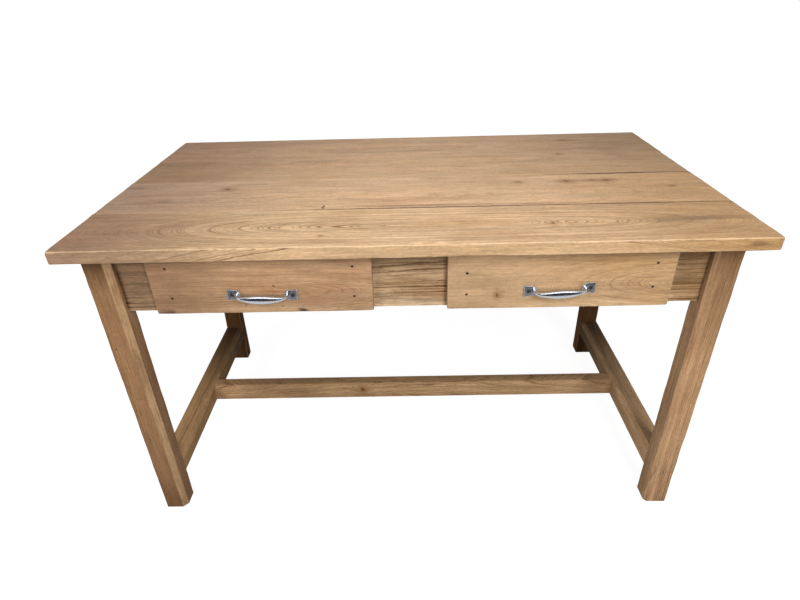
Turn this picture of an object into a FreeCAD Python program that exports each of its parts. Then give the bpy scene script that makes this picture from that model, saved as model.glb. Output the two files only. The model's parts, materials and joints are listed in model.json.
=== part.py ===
import FreeCAD, Part
import os
import re
import Sketcher
from FreeCAD import Placement, Rotation, Vector

# A farmhouse kitchen table with two drawers. Four square posts are mortised for a deep apron and for
# low stretchers in an H; a top of four boards is held down with wooden buttons, and two nailed drawers
# run on bearers between the front and the rear apron.
# X runs along the table, Y from the drawer side to the back, Z up. The origin is on the floor, under
# the middle of the top. All sizes are in millimetres.

doc = FreeCAD.newDocument("KitchenTable")
sheet = doc.addObject("Spreadsheet::Sheet", "Sizes")

SIZES = {
    # the whole table
    "table_height": 770,
    "top_length": 1388,
    "top_width": 788,
    "end_overhang": 39,
    "side_overhang": 40,
    # the top: four boards with loose tongues; two seams have opened, the rear one is still tight
    "top_thickness": 27,
    "front_board_width": 188.5,
    "second_board_width": 203.5,
    "third_board_width": 181,
    "open_seam": 1.6,
    "tight_seam": 0.4,
    "top_arris": 2.5,
    "under_arris": 1.5,
    "seam_arris": 0.8,
    "top_corner_round": 9,
    "tongue_thickness": 7,
    "tongue_bite": 9,
    "tongue_stop": 70,
    # the legs: square posts with a chamfer down the inner edge of the outward face
    "leg_width": 54,
    "leg_depth": 48,
    "left_leg_chamfer": 11.5,
    "right_leg_chamfer": 7.5,
    "leg_arris": 1.2,
    "foot_arris": 2,
    # the aprons and their tenons
    "apron_height": 142,
    "apron_thickness": 20,
    "apron_setback": 20,
    "apron_tenon_thickness": 9,
    "apron_tenon_shoulder": 14,
    "apron_tenon_haunch": 30,
    "tenon_wall": 2.5,
    "side_apron_tenon": 25,
    # the stretchers
    "stretcher_top": 135,
    "stretcher_width": 52,
    "stretcher_height": 47,
    "stretcher_chamfer": 12,
    "chamfer_stop": 38,
    "chamfer_run": 24,
    "chamfer_lap": 0.05,
    "centre_stretcher_width": 48,
    "centre_stretcher_height": 47,
    "centre_chamfer": 9,
    "stretcher_tenon": 30,
    "stretcher_tenon_thickness": 14,
    "stretcher_tenon_height": 31,
    # the drawers: a front nailed over a box of two sides and a back
    "drawer_from_leg": 70,
    "drawer_front_lip": 32,
    "drawer_front_drop": 3.5,
    "drawer_front_thickness": 16,
    "drawer_front_arris": 2,
    "drawer_front_corner": 6.5,
    "drawer_front_gap": 0.5,
    "drawer_box_width": 391,
    "drawer_box_height": 92,
    "drawer_box_depth": 500,
    "drawer_side_thickness": 14,
    "drawer_back_thickness": 12,
    "drawer_back_drop": 8,
    "drawer_bottom_thickness": 6,
    "drawer_bottom_height": 8,
    "drawer_bottom_bite": 6,
    "drawer_bottom_play": 0.5,
    # the openings, bearers and kickers that carry the drawers
    "opening_rail": 22,
    "opening_play": 3,
    "running_gap": 0.3,
    "kicker_gap": 2.7,
    "runner_reach": 16,
    "guide_gap": 1,
    "guide_thickness": 12,
    "guide_height": 20,
    "kicker_reach": 18,
    "kicker_lap": 6,
    "stub_length": 7,
    "stub_shoulder": 5,
    # the buttons under the top, and their screws
    "button_length": 38,
    "button_depth": 30,
    "button_height": 20,
    "button_tongue": 8,
    "button_tongue_thickness": 8,
    "button_slot_play": 2,
    "button_from_leg": 40,
    "rear_button_inside": 113.5,
    "button_screw_length": 34,
    "button_screw_radius": 2.2,
    "button_screw_head_radius": 4.4,
    "button_screw_head_height": 2.8,
    # nails, and their heights above the lower edge of the drawer's sides
    "nail_length": 45,
    "nail_radius": 1.3,
    "nail_head_radius": 2.6,
    "nail_head_height": 1,
    "fastener_play": 0.05,
    "back_nail_low": 24,
    "back_nail_high": 64,
    "bottom_nail_spread": 110,
    "left_outer_nail_low": 15.5,
    "left_outer_nail_high": 84,
    "left_inner_nail_low": 13.5,
    "left_inner_nail_high": 82,
    "right_inner_nail_low": 12,
    "right_inner_nail_high": 61,
    "right_outer_nail_low": 22.5,
    "right_outer_nail_high": 76.5,
    # the cast bow handles
    "handle_height": 44.5,
    "handle_spacing": 125,
    "handle_reach": 24,
    "handle_bar_height": 18.5,
    "handle_bar_depth": 9.5,
    "handle_neck_height": 7.5,
    "handle_neck_depth": 6.5,
    "handle_bow_fullness": 3.2,
    "handle_swell_fullness": 1.5,
    "handle_plate_thickness": 4,
    "handle_plate_height": 26,
    "handle_plate_waist": 22,
    "handle_plate_outside": 9.5,
    "handle_plate_inside": 11,
    "handle_plate_neck": 10.5,
    "handle_neck_length": 6,
    "handle_edge_round": 1.2,
    "left_handle_tilt": -1.3,
    "right_handle_tilt": 2.5,
    "handle_screw_length": 15,
    "handle_screw_radius": 2,
    "handle_screw_head_radius": 4.3,
    "handle_screw_head_height": 2.6,
    "screw_slot_width": 1.1,
    "screw_slot_depth": 1,
}

for row, (alias, size) in enumerate(SIZES.items(), 1):
    sheet.set(f"A{row}", alias)
    sheet.set(f"B{row}", str(size))
    sheet.setAlias(f"B{row}", alias)
doc.recompute()

TOUCH = 0.01

# Derived places, written as expressions of the sheet's cells
UNDERSIDE = "(table_height - top_thickness)"
LEG_X = "(top_length / 2 - end_overhang)"
LEG_Y = "(top_width / 2 - side_overhang)"
LEG_INNER_X = f"({LEG_X} - leg_width)"
LEG_INNER_Y = f"({LEG_Y} - leg_depth)"
APRON_LOW = f"({UNDERSIDE} - apron_height)"
APRON_FACE_Y = f"({LEG_Y} - apron_setback)"
APRON_FACE_X = f"({LEG_X} - apron_setback)"
APRON_BACK_Y = f"({APRON_FACE_Y} - apron_thickness)"
APRON_BACK_X = f"({APRON_FACE_X} - apron_thickness)"
LONG_TENON = "(leg_width - apron_setback - apron_thickness / 2 - apron_tenon_thickness / 2 - tenon_wall)"
TENON_LOW = f"({APRON_LOW} + apron_tenon_shoulder)"
TENON_HIGH = f"({UNDERSIDE} - apron_tenon_haunch)"
STRETCHER_INNER_X = f"({LEG_X} - stretcher_width)"
RUNNER_TOP = f"({APRON_LOW} + opening_rail)"
BOX_LOW = f"({RUNNER_TOP} + running_gap)"
KICKER_LOW = f"({BOX_LOW} + drawer_box_height + kicker_gap)"
RUNNER_OUT = "(drawer_box_width / 2 + guide_gap + guide_thickness)"
RUNNER_IN = "(drawer_box_width / 2 - runner_reach)"
KICKER_OUT = "(drawer_box_width / 2 + kicker_lap)"
KICKER_IN = "(drawer_box_width / 2 - kicker_reach)"
OPENING_HALF = "(drawer_box_width / 2 + opening_play)"
DRAWER_CENTRE = f"({LEG_INNER_X} - drawer_from_leg - drawer_front_lip - drawer_box_width / 2)"


# ---- helpers: cells, sketches and the features every sub-part is made of ----

def cells(text):
    """The expression with each cell's alias written out as FreeCAD needs it."""
    return re.sub(r"[a-z][a-z_]*", lambda word: f"Sizes.{word[0]}" if word[0] in SIZES else word[0], text)


def number(text):
    """The present value of an expression of the sheet's cells."""
    result = sheet.evalExpression(cells(text))
    return float(getattr(result, "Value", result))


def signed(sign, near, far):
    """The span from near to far on the side of the middle plane that sign gives, lowest end first."""
    return (near, far) if sign > 0 else (f"-({far})", f"-({near})")


def bind(item, path, text):
    item.setExpression(path, cells(text))


def place(item, x="0", y="0", z="0"):
    for axis, text in zip("xyz", (x, y, z)):
        bind(item, f"Placement.Base.{axis}", text)
    return item


def new_body(label):
    body = doc.addObject("PartDesign::Body", label)
    body.Label = label
    return body


def origin_plane(body, role):
    return next(plane for plane in body.Origin.OriginFeatures if plane.Role == role)


def new_sketch(body, plane, lift="0"):
    """A sketch on one of the body's own origin planes, lifted off it along the plane's normal."""
    sketch = body.newObject("Sketcher::SketchObject", f"{body.Name}_sketch")
    sketch.AttachmentSupport = [(origin_plane(body, plane), "")]
    sketch.MapMode = "FlatFace"
    bind(sketch, "AttachmentOffset.Base.z", lift)
    return sketch


def polygon(sketch, corners):
    """A closed outline whose corners are held by expressions for their distances from the origin."""
    points = [Vector(number(across), number(up), 0) for across, up in corners]
    count = len(points)
    for index, point in enumerate(points):
        sketch.addGeometry(Part.LineSegment(point, points[(index + 1) % count]), False)
    for index in range(count):
        sketch.addConstraint(Sketcher.Constraint("Coincident", index, 2, (index + 1) % count, 1))
    for index, (point, corner) in enumerate(zip(points, corners)):
        for kind, value, text in (("DistanceX", point.x, corner[0]), ("DistanceY", point.y, corner[1])):
            held = sketch.addConstraint(Sketcher.Constraint(kind, -1, 1, index, 1, value))
            bind(sketch, f"Constraints[{held}]", text)
    return sketch


def pad(body, sketch, length):
    feature = body.newObject("PartDesign::Pad", f"{body.Name}_pad")
    feature.Profile = sketch
    bind(feature, "Length", length)
    doc.recompute()
    return feature


def slab(body, across, along, up):
    """The body's first solid: a rectangle in plan, padded upwards. Each argument is a span."""
    sketch = new_sketch(body, "XY_Plane", up[0])
    corners = [(across[0], along[0]), (across[1], along[0]), (across[1], along[1]), (across[0], along[1])]
    return pad(body, polygon(sketch, corners), f"{up[1]} - ({up[0]})")


def block(body, kind, across, along, up):
    """A box added to the body, or cut from it, between three spans."""
    feature = body.newObject(f"PartDesign::{kind}Box", f"{body.Name}_{kind}")
    for name, span in (("Length", across), ("Width", along), ("Height", up)):
        bind(feature, name, f"{span[1]} - ({span[0]})")
    return place(feature, across[0], along[0], up[0])


def cut(body, across, along, up):
    return block(body, "Subtractive", across, along, up)


def add(body, across, along, up):
    return block(body, "Additive", across, along, up)


# turns that take a cylinder's own axis, +Z, to another direction
TURNS = {
    "+X": Rotation(Vector(0, 1, 0), 90),
    "-X": Rotation(Vector(0, 1, 0), -90),
    "+Y": Rotation(Vector(1, 0, 0), -90),
    "+Z": Rotation(),
}


def drill(body, start, direction, radius, length):
    """A round blind hole from a point on the surface into the wood."""
    feature = body.newObject("PartDesign::SubtractiveCylinder", f"{body.Name}_hole")
    feature.Placement = Placement(Vector(), TURNS[direction])
    bind(feature, "Radius", radius)
    bind(feature, "Height", length)
    return place(feature, *start)


def dress(body, kind, size, test, curves=True):
    """A fillet or chamfer on the edges of the body's tip whose bounding box passes the test."""
    doc.recompute()
    tip = body.Tip
    names = [f"Edge{index}" for index, edge in enumerate(tip.Shape.Edges, 1)
             if test(edge.BoundBox) and (curves or edge.Curve.TypeId == "Part::GeomLine")]
    feature = body.newObject(f"PartDesign::{kind}", f"{body.Name}_{kind}")
    feature.Base = (tip, names)
    bind(feature, "Radius" if kind == "Fillet" else "Size", size)
    doc.recompute()
    return feature


def near(one, other):
    return abs(one - other) < TOUCH


def upright(box):
    return near(box.XLength, 0) and near(box.YLength, 0)


# ---- the top: four boards, with a stopped loose tongue across each seam ----

BOARD_EDGES = {
    "front": ("-top_width / 2", "front_board_width", None, "open_seam"),
    "second": ("front_board_width + open_seam - top_width / 2", "second_board_width", "open_seam",
               "open_seam"),
    "third": ("front_board_width + second_board_width + 2 * open_seam - top_width / 2",
              "third_board_width", "open_seam", "tight_seam"),
}
REAR_BOARD_LOW = ("(front_board_width + second_board_width + third_board_width + 2 * open_seam"
                  " + tight_seam - top_width / 2)")
BOARD_EDGES["rear"] = (REAR_BOARD_LOW, f"(top_width / 2 - {REAR_BOARD_LOW})", "tight_seam", None)

TONGUE_HALF = "(top_length / 2 - tongue_stop)"
TONGUE_LOW = "(top_thickness / 2 - tongue_thickness / 2)"
TONGUE_HIGH = "(top_thickness / 2 + tongue_thickness / 2)"
BUTTON_MIDDLE = "(button_depth / 2)"
NEAR_LEG_X = f"({LEG_INNER_X} - button_from_leg)"
# the two middle buttons at the rear stand between the kickers, inside each drawer's own middle
MIDDLE_BUTTON_X = f"({DRAWER_CENTRE} - rear_button_inside)"


def board_middle(board):
    low, width = BOARD_EDGES[board][:2]
    return f"({low} + {width} / 2)"


# each button: the board it holds, the middle of its face on the apron, and its turn about Z
BUTTONS = [("front", x, f"-{APRON_BACK_Y}", 0) for x in (f"-{NEAR_LEG_X}", "0", NEAR_LEG_X)]
BUTTONS += [("rear", x, APRON_BACK_Y, 180)
            for x in (f"-{NEAR_LEG_X}", f"-{MIDDLE_BUTTON_X}", MIDDLE_BUTTON_X, NEAR_LEG_X)]
for held_board in ("second", "third"):
    BUTTONS.append((held_board, f"-{APRON_BACK_X}", board_middle(held_board), 270))
    BUTTONS.append((held_board, APRON_BACK_X, board_middle(held_board), 90))


def button_screw_place(x, y, turn):
    """Where a button's screw stands: half the button's depth in from the apron's face."""
    return {0: (x, f"{y} + {BUTTON_MIDDLE}"), 180: (x, f"{y} - {BUTTON_MIDDLE}"),
            90: (f"{x} - {BUTTON_MIDDLE}", y), 270: (f"{x} + {BUTTON_MIDDLE}", y)}[turn]


def top_board(name):
    """One board: outer edges eased, seam edges grooved, and pilot holes for its buttons' screws."""
    low, width, front_seam, rear_seam = BOARD_EDGES[name]
    body = new_body(f"top_board_{name}")
    slab(body, ("-top_length / 2", "top_length / 2"), ("0", width), ("0", "top_thickness"))
    half, deep, thick = number("top_length / 2"), number(width), number("top_thickness")
    outer_y = [edge for edge, seam in ((0, front_seam), (deep, rear_seam)) if seam is None]
    seam_y = [edge for edge, seam in ((0, front_seam), (deep, rear_seam)) if seam]
    if outer_y:
        dress(body, "Fillet", "top_corner_round",
              lambda box: upright(box) and near(box.YMin, outer_y[0]))

    def on_rim(box, level):
        at_end = near(abs(box.XMin), half) and near(box.XMin, box.XMax)
        outside = outer_y and near(box.YMin, outer_y[0]) and near(box.YMin, box.YMax)
        rounded = not near(box.XLength, 0) and not near(box.YLength, 0)
        return near(box.ZMin, level) and near(box.ZMax, level) and (at_end or outside or rounded)

    dress(body, "Fillet", "top_arris", lambda box: on_rim(box, thick))
    dress(body, "Fillet", "under_arris", lambda box: on_rim(box, 0))
    dress(body, "Chamfer", "seam_arris",
          lambda box: near(box.ZMin, thick) and near(box.ZMax, thick) and box.XLength > half
          and any(near(box.YMin, edge) and near(box.YMax, edge) for edge in seam_y))
    for seam, along in ((front_seam, ("0", "tongue_bite")), (rear_seam, (f"{width} - tongue_bite", width))):
        if seam:
            cut(body, (f"-{TONGUE_HALF}", TONGUE_HALF), along, (TONGUE_LOW, TONGUE_HIGH))
    for board, x, y, turn in BUTTONS:
        if board == name:
            screw_x, screw_y = button_screw_place(x, y, turn)
            drill(body, (screw_x, f"{screw_y} - ({low})", "0"), "+Z", "button_screw_radius + fastener_play",
                  "button_screw_length - button_height + fastener_play")
    return place(body, "0", low, UNDERSIDE)


def top_tongue(name, board_before):
    """A loose tongue that fills the grooves on both sides of a seam and stops short of the ends."""
    low, width, _, seam = BOARD_EDGES[board_before]
    body = new_body(f"top_tongue_{name}")
    slab(body, (f"-{TONGUE_HALF}", TONGUE_HALF), ("-tongue_bite", f"{seam} + tongue_bite"),
         (TONGUE_LOW, TONGUE_HIGH))
    return place(body, "0", f"{low} + {width}", UNDERSIDE)


# ---- the legs ----

def inward(sign, size, start, end):
    """The span start to end, measured from a leg's outer face on the side that sign gives."""
    return signed(sign, f"{size} / 2 - ({end})", f"{size} / 2 - ({start})")


def middle_span(size):
    return (f"-{size} / 2", f"{size} / 2")


APRON_TENON_NEAR = "(apron_setback + apron_thickness / 2 - apron_tenon_thickness / 2)"
APRON_TENON_FAR = "(apron_setback + apron_thickness / 2 + apron_tenon_thickness / 2)"
STRETCHER_TENON_NEAR = "(stretcher_width / 2 - stretcher_tenon_thickness / 2)"
STRETCHER_TENON_FAR = "(stretcher_width / 2 + stretcher_tenon_thickness / 2)"
STRETCHER_TENON_LOW = "(stretcher_top - stretcher_height / 2 - stretcher_tenon_height / 2)"
STRETCHER_TENON_HIGH = "(stretcher_top - stretcher_height / 2 + stretcher_tenon_height / 2)"


def leg(name, side, end, chamfer):
    """A post mortised on its inner faces: long apron, side apron, and the side stretcher low down."""
    body = new_body(f"leg_{name}")
    wide, deep = "leg_width / 2", "leg_depth / 2"
    half_width, half_depth = number(wide), number(deep)
    outline = [(f"-{wide} + {chamfer}", deep), (f"-{wide}", f"{deep} - {chamfer}"), (f"-{wide}", f"-{deep}"),
               (wide, f"-{deep}"), (wide, deep)]
    section = [(f"{side} * ({across})", f"{end} * ({along})") for across, along in outline]
    pad(body, polygon(new_sketch(body, "XY_Plane"), section), UNDERSIDE)
    dress(body, "Chamfer", "foot_arris", lambda box: near(box.ZMax, 0))
    dress(body, "Fillet", "leg_arris",
          lambda box: upright(box) and near(abs(box.XMin), half_width) and near(abs(box.YMin), half_depth))
    cut(body, inward(side, "leg_width", f"leg_width - {LONG_TENON}", "leg_width"),
        inward(end, "leg_depth", APRON_TENON_NEAR, APRON_TENON_FAR), (TENON_LOW, TENON_HIGH))
    cut(body, inward(side, "leg_width", APRON_TENON_NEAR, APRON_TENON_FAR),
        inward(end, "leg_depth", "leg_depth - side_apron_tenon", "leg_depth"), (TENON_LOW, TENON_HIGH))
    cut(body, inward(side, "leg_width", STRETCHER_TENON_NEAR, STRETCHER_TENON_FAR),
        inward(end, "leg_depth", "leg_depth - stretcher_tenon", "leg_depth"),
        (STRETCHER_TENON_LOW, STRETCHER_TENON_HIGH))
    return place(body, f"{side} * ({LEG_X} - leg_width / 2)", f"{end} * ({LEG_Y} - leg_depth / 2)", "0")


# ---- the aprons ----

SLOT_HALF = "(button_length / 2 + button_slot_play)"
SLOT_LOW = f"({UNDERSIDE} - button_height)"
SLOT_HIGH = f"({SLOT_LOW} + button_tongue_thickness)"
SLOT_DEPTH = "(button_tongue + fastener_play)"


def stub_spans(sign, drawer_side, inside, outside):
    """The span in X of a bearer's stub tenon, for one side of one drawer."""
    low, high = signed(sign, f"{inside} + stub_shoulder", f"{outside} - stub_shoulder")
    centre = f"{drawer_side} * {DRAWER_CENTRE}"
    return (f"{centre} + {low}", f"{centre} + {high}")


def long_apron(name, end):
    """Front or rear apron: tenoned into the legs, with slots for buttons and housings for stubs."""
    body = new_body(f"apron_{name}")
    wood = signed(end, APRON_BACK_Y, APRON_FACE_Y)
    slab(body, (f"-{LEG_INNER_X}", LEG_INNER_X), wood, (APRON_LOW, UNDERSIDE))
    tenon = signed(end, f"{LEG_Y} - {APRON_TENON_FAR}", f"{LEG_Y} - {APRON_TENON_NEAR}")
    for side in (-1, 1):
        add(body, signed(side, LEG_INNER_X, f"{LEG_INNER_X} + {LONG_TENON}"), tenon, (TENON_LOW, TENON_HIGH))
    stub = signed(end, APRON_BACK_Y, f"{APRON_BACK_Y} + stub_length")
    for drawer_side in (-1, 1):
        if end < 0:
            centre = f"{drawer_side} * {DRAWER_CENTRE}"
            cut(body, (f"{centre} - {OPENING_HALF}", f"{centre} + {OPENING_HALF}"), wood,
                (RUNNER_TOP, KICKER_LOW))
        for sign in (-1, 1):
            cut(body, stub_spans(sign, drawer_side, RUNNER_IN, RUNNER_OUT), stub,
                (f"{APRON_LOW} + stub_shoulder", f"{RUNNER_TOP} - stub_shoulder"))
            cut(body, stub_spans(sign, drawer_side, KICKER_IN, KICKER_OUT), stub,
                (f"{KICKER_LOW} + stub_shoulder", f"{UNDERSIDE} - stub_shoulder"))
    slot = signed(end, APRON_BACK_Y, f"{APRON_BACK_Y} + {SLOT_DEPTH}")
    for board, x, _, _ in BUTTONS:
        if board == name:
            cut(body, (f"{x} - {SLOT_HALF}", f"{x} + {SLOT_HALF}"), slot, (SLOT_LOW, SLOT_HIGH))
    return body


def side_apron(name, side):
    body = new_body(f"apron_{name}")
    wood = signed(side, APRON_BACK_X, APRON_FACE_X)
    slab(body, wood, (f"-{LEG_INNER_Y}", LEG_INNER_Y), (APRON_LOW, UNDERSIDE))
    tenon = signed(side, f"{LEG_X} - {APRON_TENON_FAR}", f"{LEG_X} - {APRON_TENON_NEAR}")
    for end in (-1, 1):
        add(body, tenon, signed(end, LEG_INNER_Y, f"{LEG_INNER_Y} + side_apron_tenon"),
            (TENON_LOW, TENON_HIGH))
    slot = signed(side, APRON_BACK_X, f"{APRON_BACK_X} + {SLOT_DEPTH}")
    for board in ("second", "third"):
        middle = board_middle(board)
        cut(body, slot, (f"{middle} - {SLOT_HALF}", f"{middle} + {SLOT_HALF}"), (SLOT_LOW, SLOT_HIGH))
    return body


# ---- the stretchers ----

CENTRE_TENON_LOW = "(stretcher_top - centre_stretcher_height / 2 - stretcher_tenon_height / 2)"
CENTRE_TENON_HIGH = "(stretcher_top - centre_stretcher_height / 2 + stretcher_tenon_height / 2)"


def stopped_chamfer(body, side, end):
    """The inner top edge cut away from the leg to near the centre stretcher, where it runs out.

    A loft between three triangles: full size at the leg and at the run-out's start, nothing at its end."""
    stop = "(centre_stretcher_width / 2 + chamfer_stop)"
    stations = ((LEG_INNER_Y, "stretcher_chamfer"), (f"({stop} + chamfer_run)", "stretcher_chamfer"),
                (stop, "chamfer_lap"))
    inner = f"{side} * {STRETCHER_INNER_X}"
    outside = (f"{inner} - {side} * chamfer_lap", "stretcher_top + chamfer_lap")
    sketches = []
    for along, size in stations:
        # this plane's normal runs along -Y, so a place along the table is written with its sign turned
        sketch = new_sketch(body, "XZ_Plane", f"{-end} * {along}")
        over, down = f"{inner} + {side} * {size}", f"stretcher_top - {size}"
        sketches.append(polygon(sketch, [outside, (over, outside[1]), (outside[0], down)]))
    feature = body.newObject("PartDesign::SubtractiveLoft", f"{body.Name}_stop")
    feature.Profile = sketches[0]
    feature.Sections = sketches[1:]
    feature.Ruled = True
    doc.recompute()
    return feature


def side_stretcher(name, side):
    body = new_body(f"stretcher_{name}")
    wood = signed(side, STRETCHER_INNER_X, LEG_X)
    slab(body, wood, (f"-{LEG_INNER_Y}", LEG_INNER_Y), ("stretcher_top - stretcher_height", "stretcher_top"))
    tenon = signed(side, f"{LEG_X} - {STRETCHER_TENON_FAR}", f"{LEG_X} - {STRETCHER_TENON_NEAR}")
    for end in (-1, 1):
        add(body, tenon, signed(end, LEG_INNER_Y, f"{LEG_INNER_Y} + stretcher_tenon"),
            (STRETCHER_TENON_LOW, STRETCHER_TENON_HIGH))
        stopped_chamfer(body, side, end)
    cut(body, signed(side, STRETCHER_INNER_X, f"{STRETCHER_INNER_X} + stretcher_tenon"),
        middle_span("stretcher_tenon_thickness"), (CENTRE_TENON_LOW, CENTRE_TENON_HIGH))
    return body


def centre_stretcher():
    body = new_body("stretcher_centre")
    slab(body, (f"-{STRETCHER_INNER_X}", STRETCHER_INNER_X), middle_span("centre_stretcher_width"),
         ("stretcher_top - centre_stretcher_height", "stretcher_top"))
    top, half = number("stretcher_top"), number("centre_stretcher_width / 2")
    dress(body, "Chamfer", "centre_chamfer",
          lambda box: near(box.ZMin, top) and near(box.YLength, 0) and near(abs(box.YMin), half))
    for side in (-1, 1):
        add(body, signed(side, STRETCHER_INNER_X, f"{STRETCHER_INNER_X} + stretcher_tenon"),
            middle_span("stretcher_tenon_thickness"), (CENTRE_TENON_LOW, CENTRE_TENON_HIGH))
    return body


# ---- the bearers and kickers, stub-tenoned between the front and rear aprons ----

def runner(name, drawer_side, sign):
    """A bearer under one side of a drawer, rebated so that its lip guides the drawer's side."""
    body = new_body(f"runner_{name}")
    lip_in = "(drawer_box_width / 2 + guide_gap)"
    lip_top = f"({RUNNER_TOP} + guide_height)"
    outline = [(RUNNER_IN, APRON_LOW), (RUNNER_OUT, APRON_LOW), (RUNNER_OUT, lip_top), (lip_in, lip_top),
               (lip_in, RUNNER_TOP), (RUNNER_IN, RUNNER_TOP)]
    section = [(f"{sign} * {across}", up) for across, up in outline]
    pad(body, polygon(new_sketch(body, "XZ_Plane", f"-{APRON_BACK_Y}"), section), f"2 * {APRON_BACK_Y}")
    across = signed(sign, f"{RUNNER_IN} + stub_shoulder", f"{RUNNER_OUT} - stub_shoulder")
    for end in (-1, 1):
        add(body, across, signed(end, APRON_BACK_Y, f"{APRON_BACK_Y} + stub_length"),
            (f"{APRON_LOW} + stub_shoulder", f"{RUNNER_TOP} - stub_shoulder"))
    return place(body, f"{drawer_side} * {DRAWER_CENTRE}")


def kicker(name, drawer_side, sign):
    """A strip over one side of a drawer, just clear of it, under the top."""
    body = new_body(f"kicker_{name}")
    slab(body, signed(sign, KICKER_IN, KICKER_OUT), (f"-{APRON_BACK_Y}", APRON_BACK_Y),
         (KICKER_LOW, UNDERSIDE))
    across = signed(sign, f"{KICKER_IN} + stub_shoulder", f"{KICKER_OUT} - stub_shoulder")
    for end in (-1, 1):
        add(body, across, signed(end, APRON_BACK_Y, f"{APRON_BACK_Y} + stub_length"),
            (f"{KICKER_LOW} + stub_shoulder", f"{UNDERSIDE} - stub_shoulder"))
    return place(body, f"{drawer_side} * {DRAWER_CENTRE}")


# ---- fasteners and buttons, made of Part primitives and grouped ----

def primitive(kind, name, sizes, start=("0", "0", "0"), turn=None):
    item = doc.addObject(f"Part::{kind}", name)
    if turn:
        item.Placement = Placement(Vector(), turn)
    for path, text in sizes.items():
        bind(item, path, text)
    return place(item, *start)


def fuse(name, first, second):
    item = doc.addObject("Part::Fuse", name)
    item.Base, item.Tool = first, second
    return item


def take_away(name, base, tool):
    item = doc.addObject("Part::Cut", name)
    item.Base, item.Tool = base, tool
    return item


def group(label, members):
    item = doc.addObject("Part::Compound", label)
    item.Label = label
    item.Links = members
    return item


def slotted_screw(name, length, radius, head_radius, head_height):
    """A countersunk screw that points along +Z, with the flat of its slotted head at the origin."""
    head = primitive("Cone", f"{name}_head",
                     {"Radius1": head_radius, "Radius2": radius, "Height": head_height})
    shank = primitive("Cylinder", f"{name}_shank", {"Radius": radius, "Height": length})
    slot_sizes = {"Length": f"2 * {head_radius}", "Width": "screw_slot_width", "Height": "screw_slot_depth"}
    slot = primitive("Box", f"{name}_slot", slot_sizes, (f"-{head_radius}", "-screw_slot_width / 2", "0"))
    return take_away(name, fuse(f"{name}_blank", head, shank), slot)


def button(index, x, y, turn):
    """A wooden button: a block under the top, with a tongue in the apron's slot and a screw hole."""
    name = f"button_{index}"
    block_part = primitive("Box", f"{name}_block",
                           {"Length": "button_length", "Width": "button_depth", "Height": "button_height"},
                           ("-button_length / 2", "0", "0"))
    tongue = primitive("Box", f"{name}_tongue",
                       {"Length": "button_length", "Width": "button_tongue",
                        "Height": "button_tongue_thickness"},
                       ("-button_length / 2", "-button_tongue", "0"))
    hole = primitive("Cylinder", f"{name}_hole",
                     {"Radius": "button_screw_radius + fastener_play", "Height": "button_height"},
                     ("0", BUTTON_MIDDLE, "0"))
    sink = primitive("Cone", f"{name}_sink",
                     {"Radius1": "button_screw_head_radius + fastener_play",
                      "Radius2": "button_screw_radius + fastener_play", "Height": "button_screw_head_height"},
                     ("0", BUTTON_MIDDLE, "0"))
    blank = fuse(f"{name}_blank", block_part, tongue)
    made = take_away(name, blank, fuse(f"{name}_bore", hole, sink))
    made.Placement = Placement(Vector(), Rotation(Vector(0, 0, 1), turn))
    return place(made, x, y, f"{UNDERSIDE} - button_height")


def buttons_and_screws():
    blocks, screws = [], []
    for index, (_, x, y, turn) in enumerate(BUTTONS, 1):
        blocks.append(button(index, x, y, turn))
        screw = slotted_screw(f"button_screw_{index}", "button_screw_length", "button_screw_radius",
                              "button_screw_head_radius", "button_screw_head_height")
        screw_x, screw_y = button_screw_place(x, y, turn)
        screws.append(place(screw, screw_x, screw_y, f"{UNDERSIDE} - button_height"))
    return [group("top_buttons", blocks), group("button_screws", screws)]


# ---- the drawers. All their pieces share one frame: the middle of the drawer in X, the back of its
# ---- front in Y, and the lower edge of its sides in Z ----

SIDE_MIDDLE = "(drawer_box_width / 2 - drawer_side_thickness / 2)"
SIDE_INNER = "(drawer_box_width / 2 - drawer_side_thickness)"
BACK_MIDDLE_Y = "(drawer_box_depth - drawer_back_thickness / 2)"
BACK_LOW = "(drawer_bottom_height + drawer_bottom_thickness)"
BACK_HIGH = "(drawer_box_height - drawer_back_drop)"
FRONT_LOW = "(-opening_rail - running_gap)"


def drawer_nails(hand, side):
    """Every nail of one drawer: the middle of its head, its direction and the two pieces it holds."""
    nails = []
    for place_name in ("outer", "inner"):
        sign = side if place_name == "outer" else -side
        for level in ("low", "high"):
            height = f"{hand}_{place_name}_nail_{level}"
            start = (f"{sign} * {SIDE_MIDDLE}", "-drawer_front_thickness", height)
            nails.append((start, "+Y", ("front", f"side_{place_name}")))
        toward_middle = "-X" if sign > 0 else "+X"
        for level in ("low", "high"):
            start = (f"{sign} * drawer_box_width / 2", BACK_MIDDLE_Y, f"back_nail_{level}")
            nails.append((start, toward_middle, (f"side_{place_name}", "back")))
    for x in ("-bottom_nail_spread", "0", "bottom_nail_spread"):
        start = (x, BACK_MIDDLE_Y, "drawer_bottom_height")
        nails.append((start, "+Z", ("bottom", "back")))
    return nails


def nail_holes(body, nails, piece):
    for start, direction, pieces in nails:
        if piece in pieces:
            drill(body, start, direction, "nail_radius + fastener_play", "nail_length + fastener_play")
            if piece == pieces[0]:
                drill(body, start, direction, "nail_head_radius + fastener_play", "nail_head_height")


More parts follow.
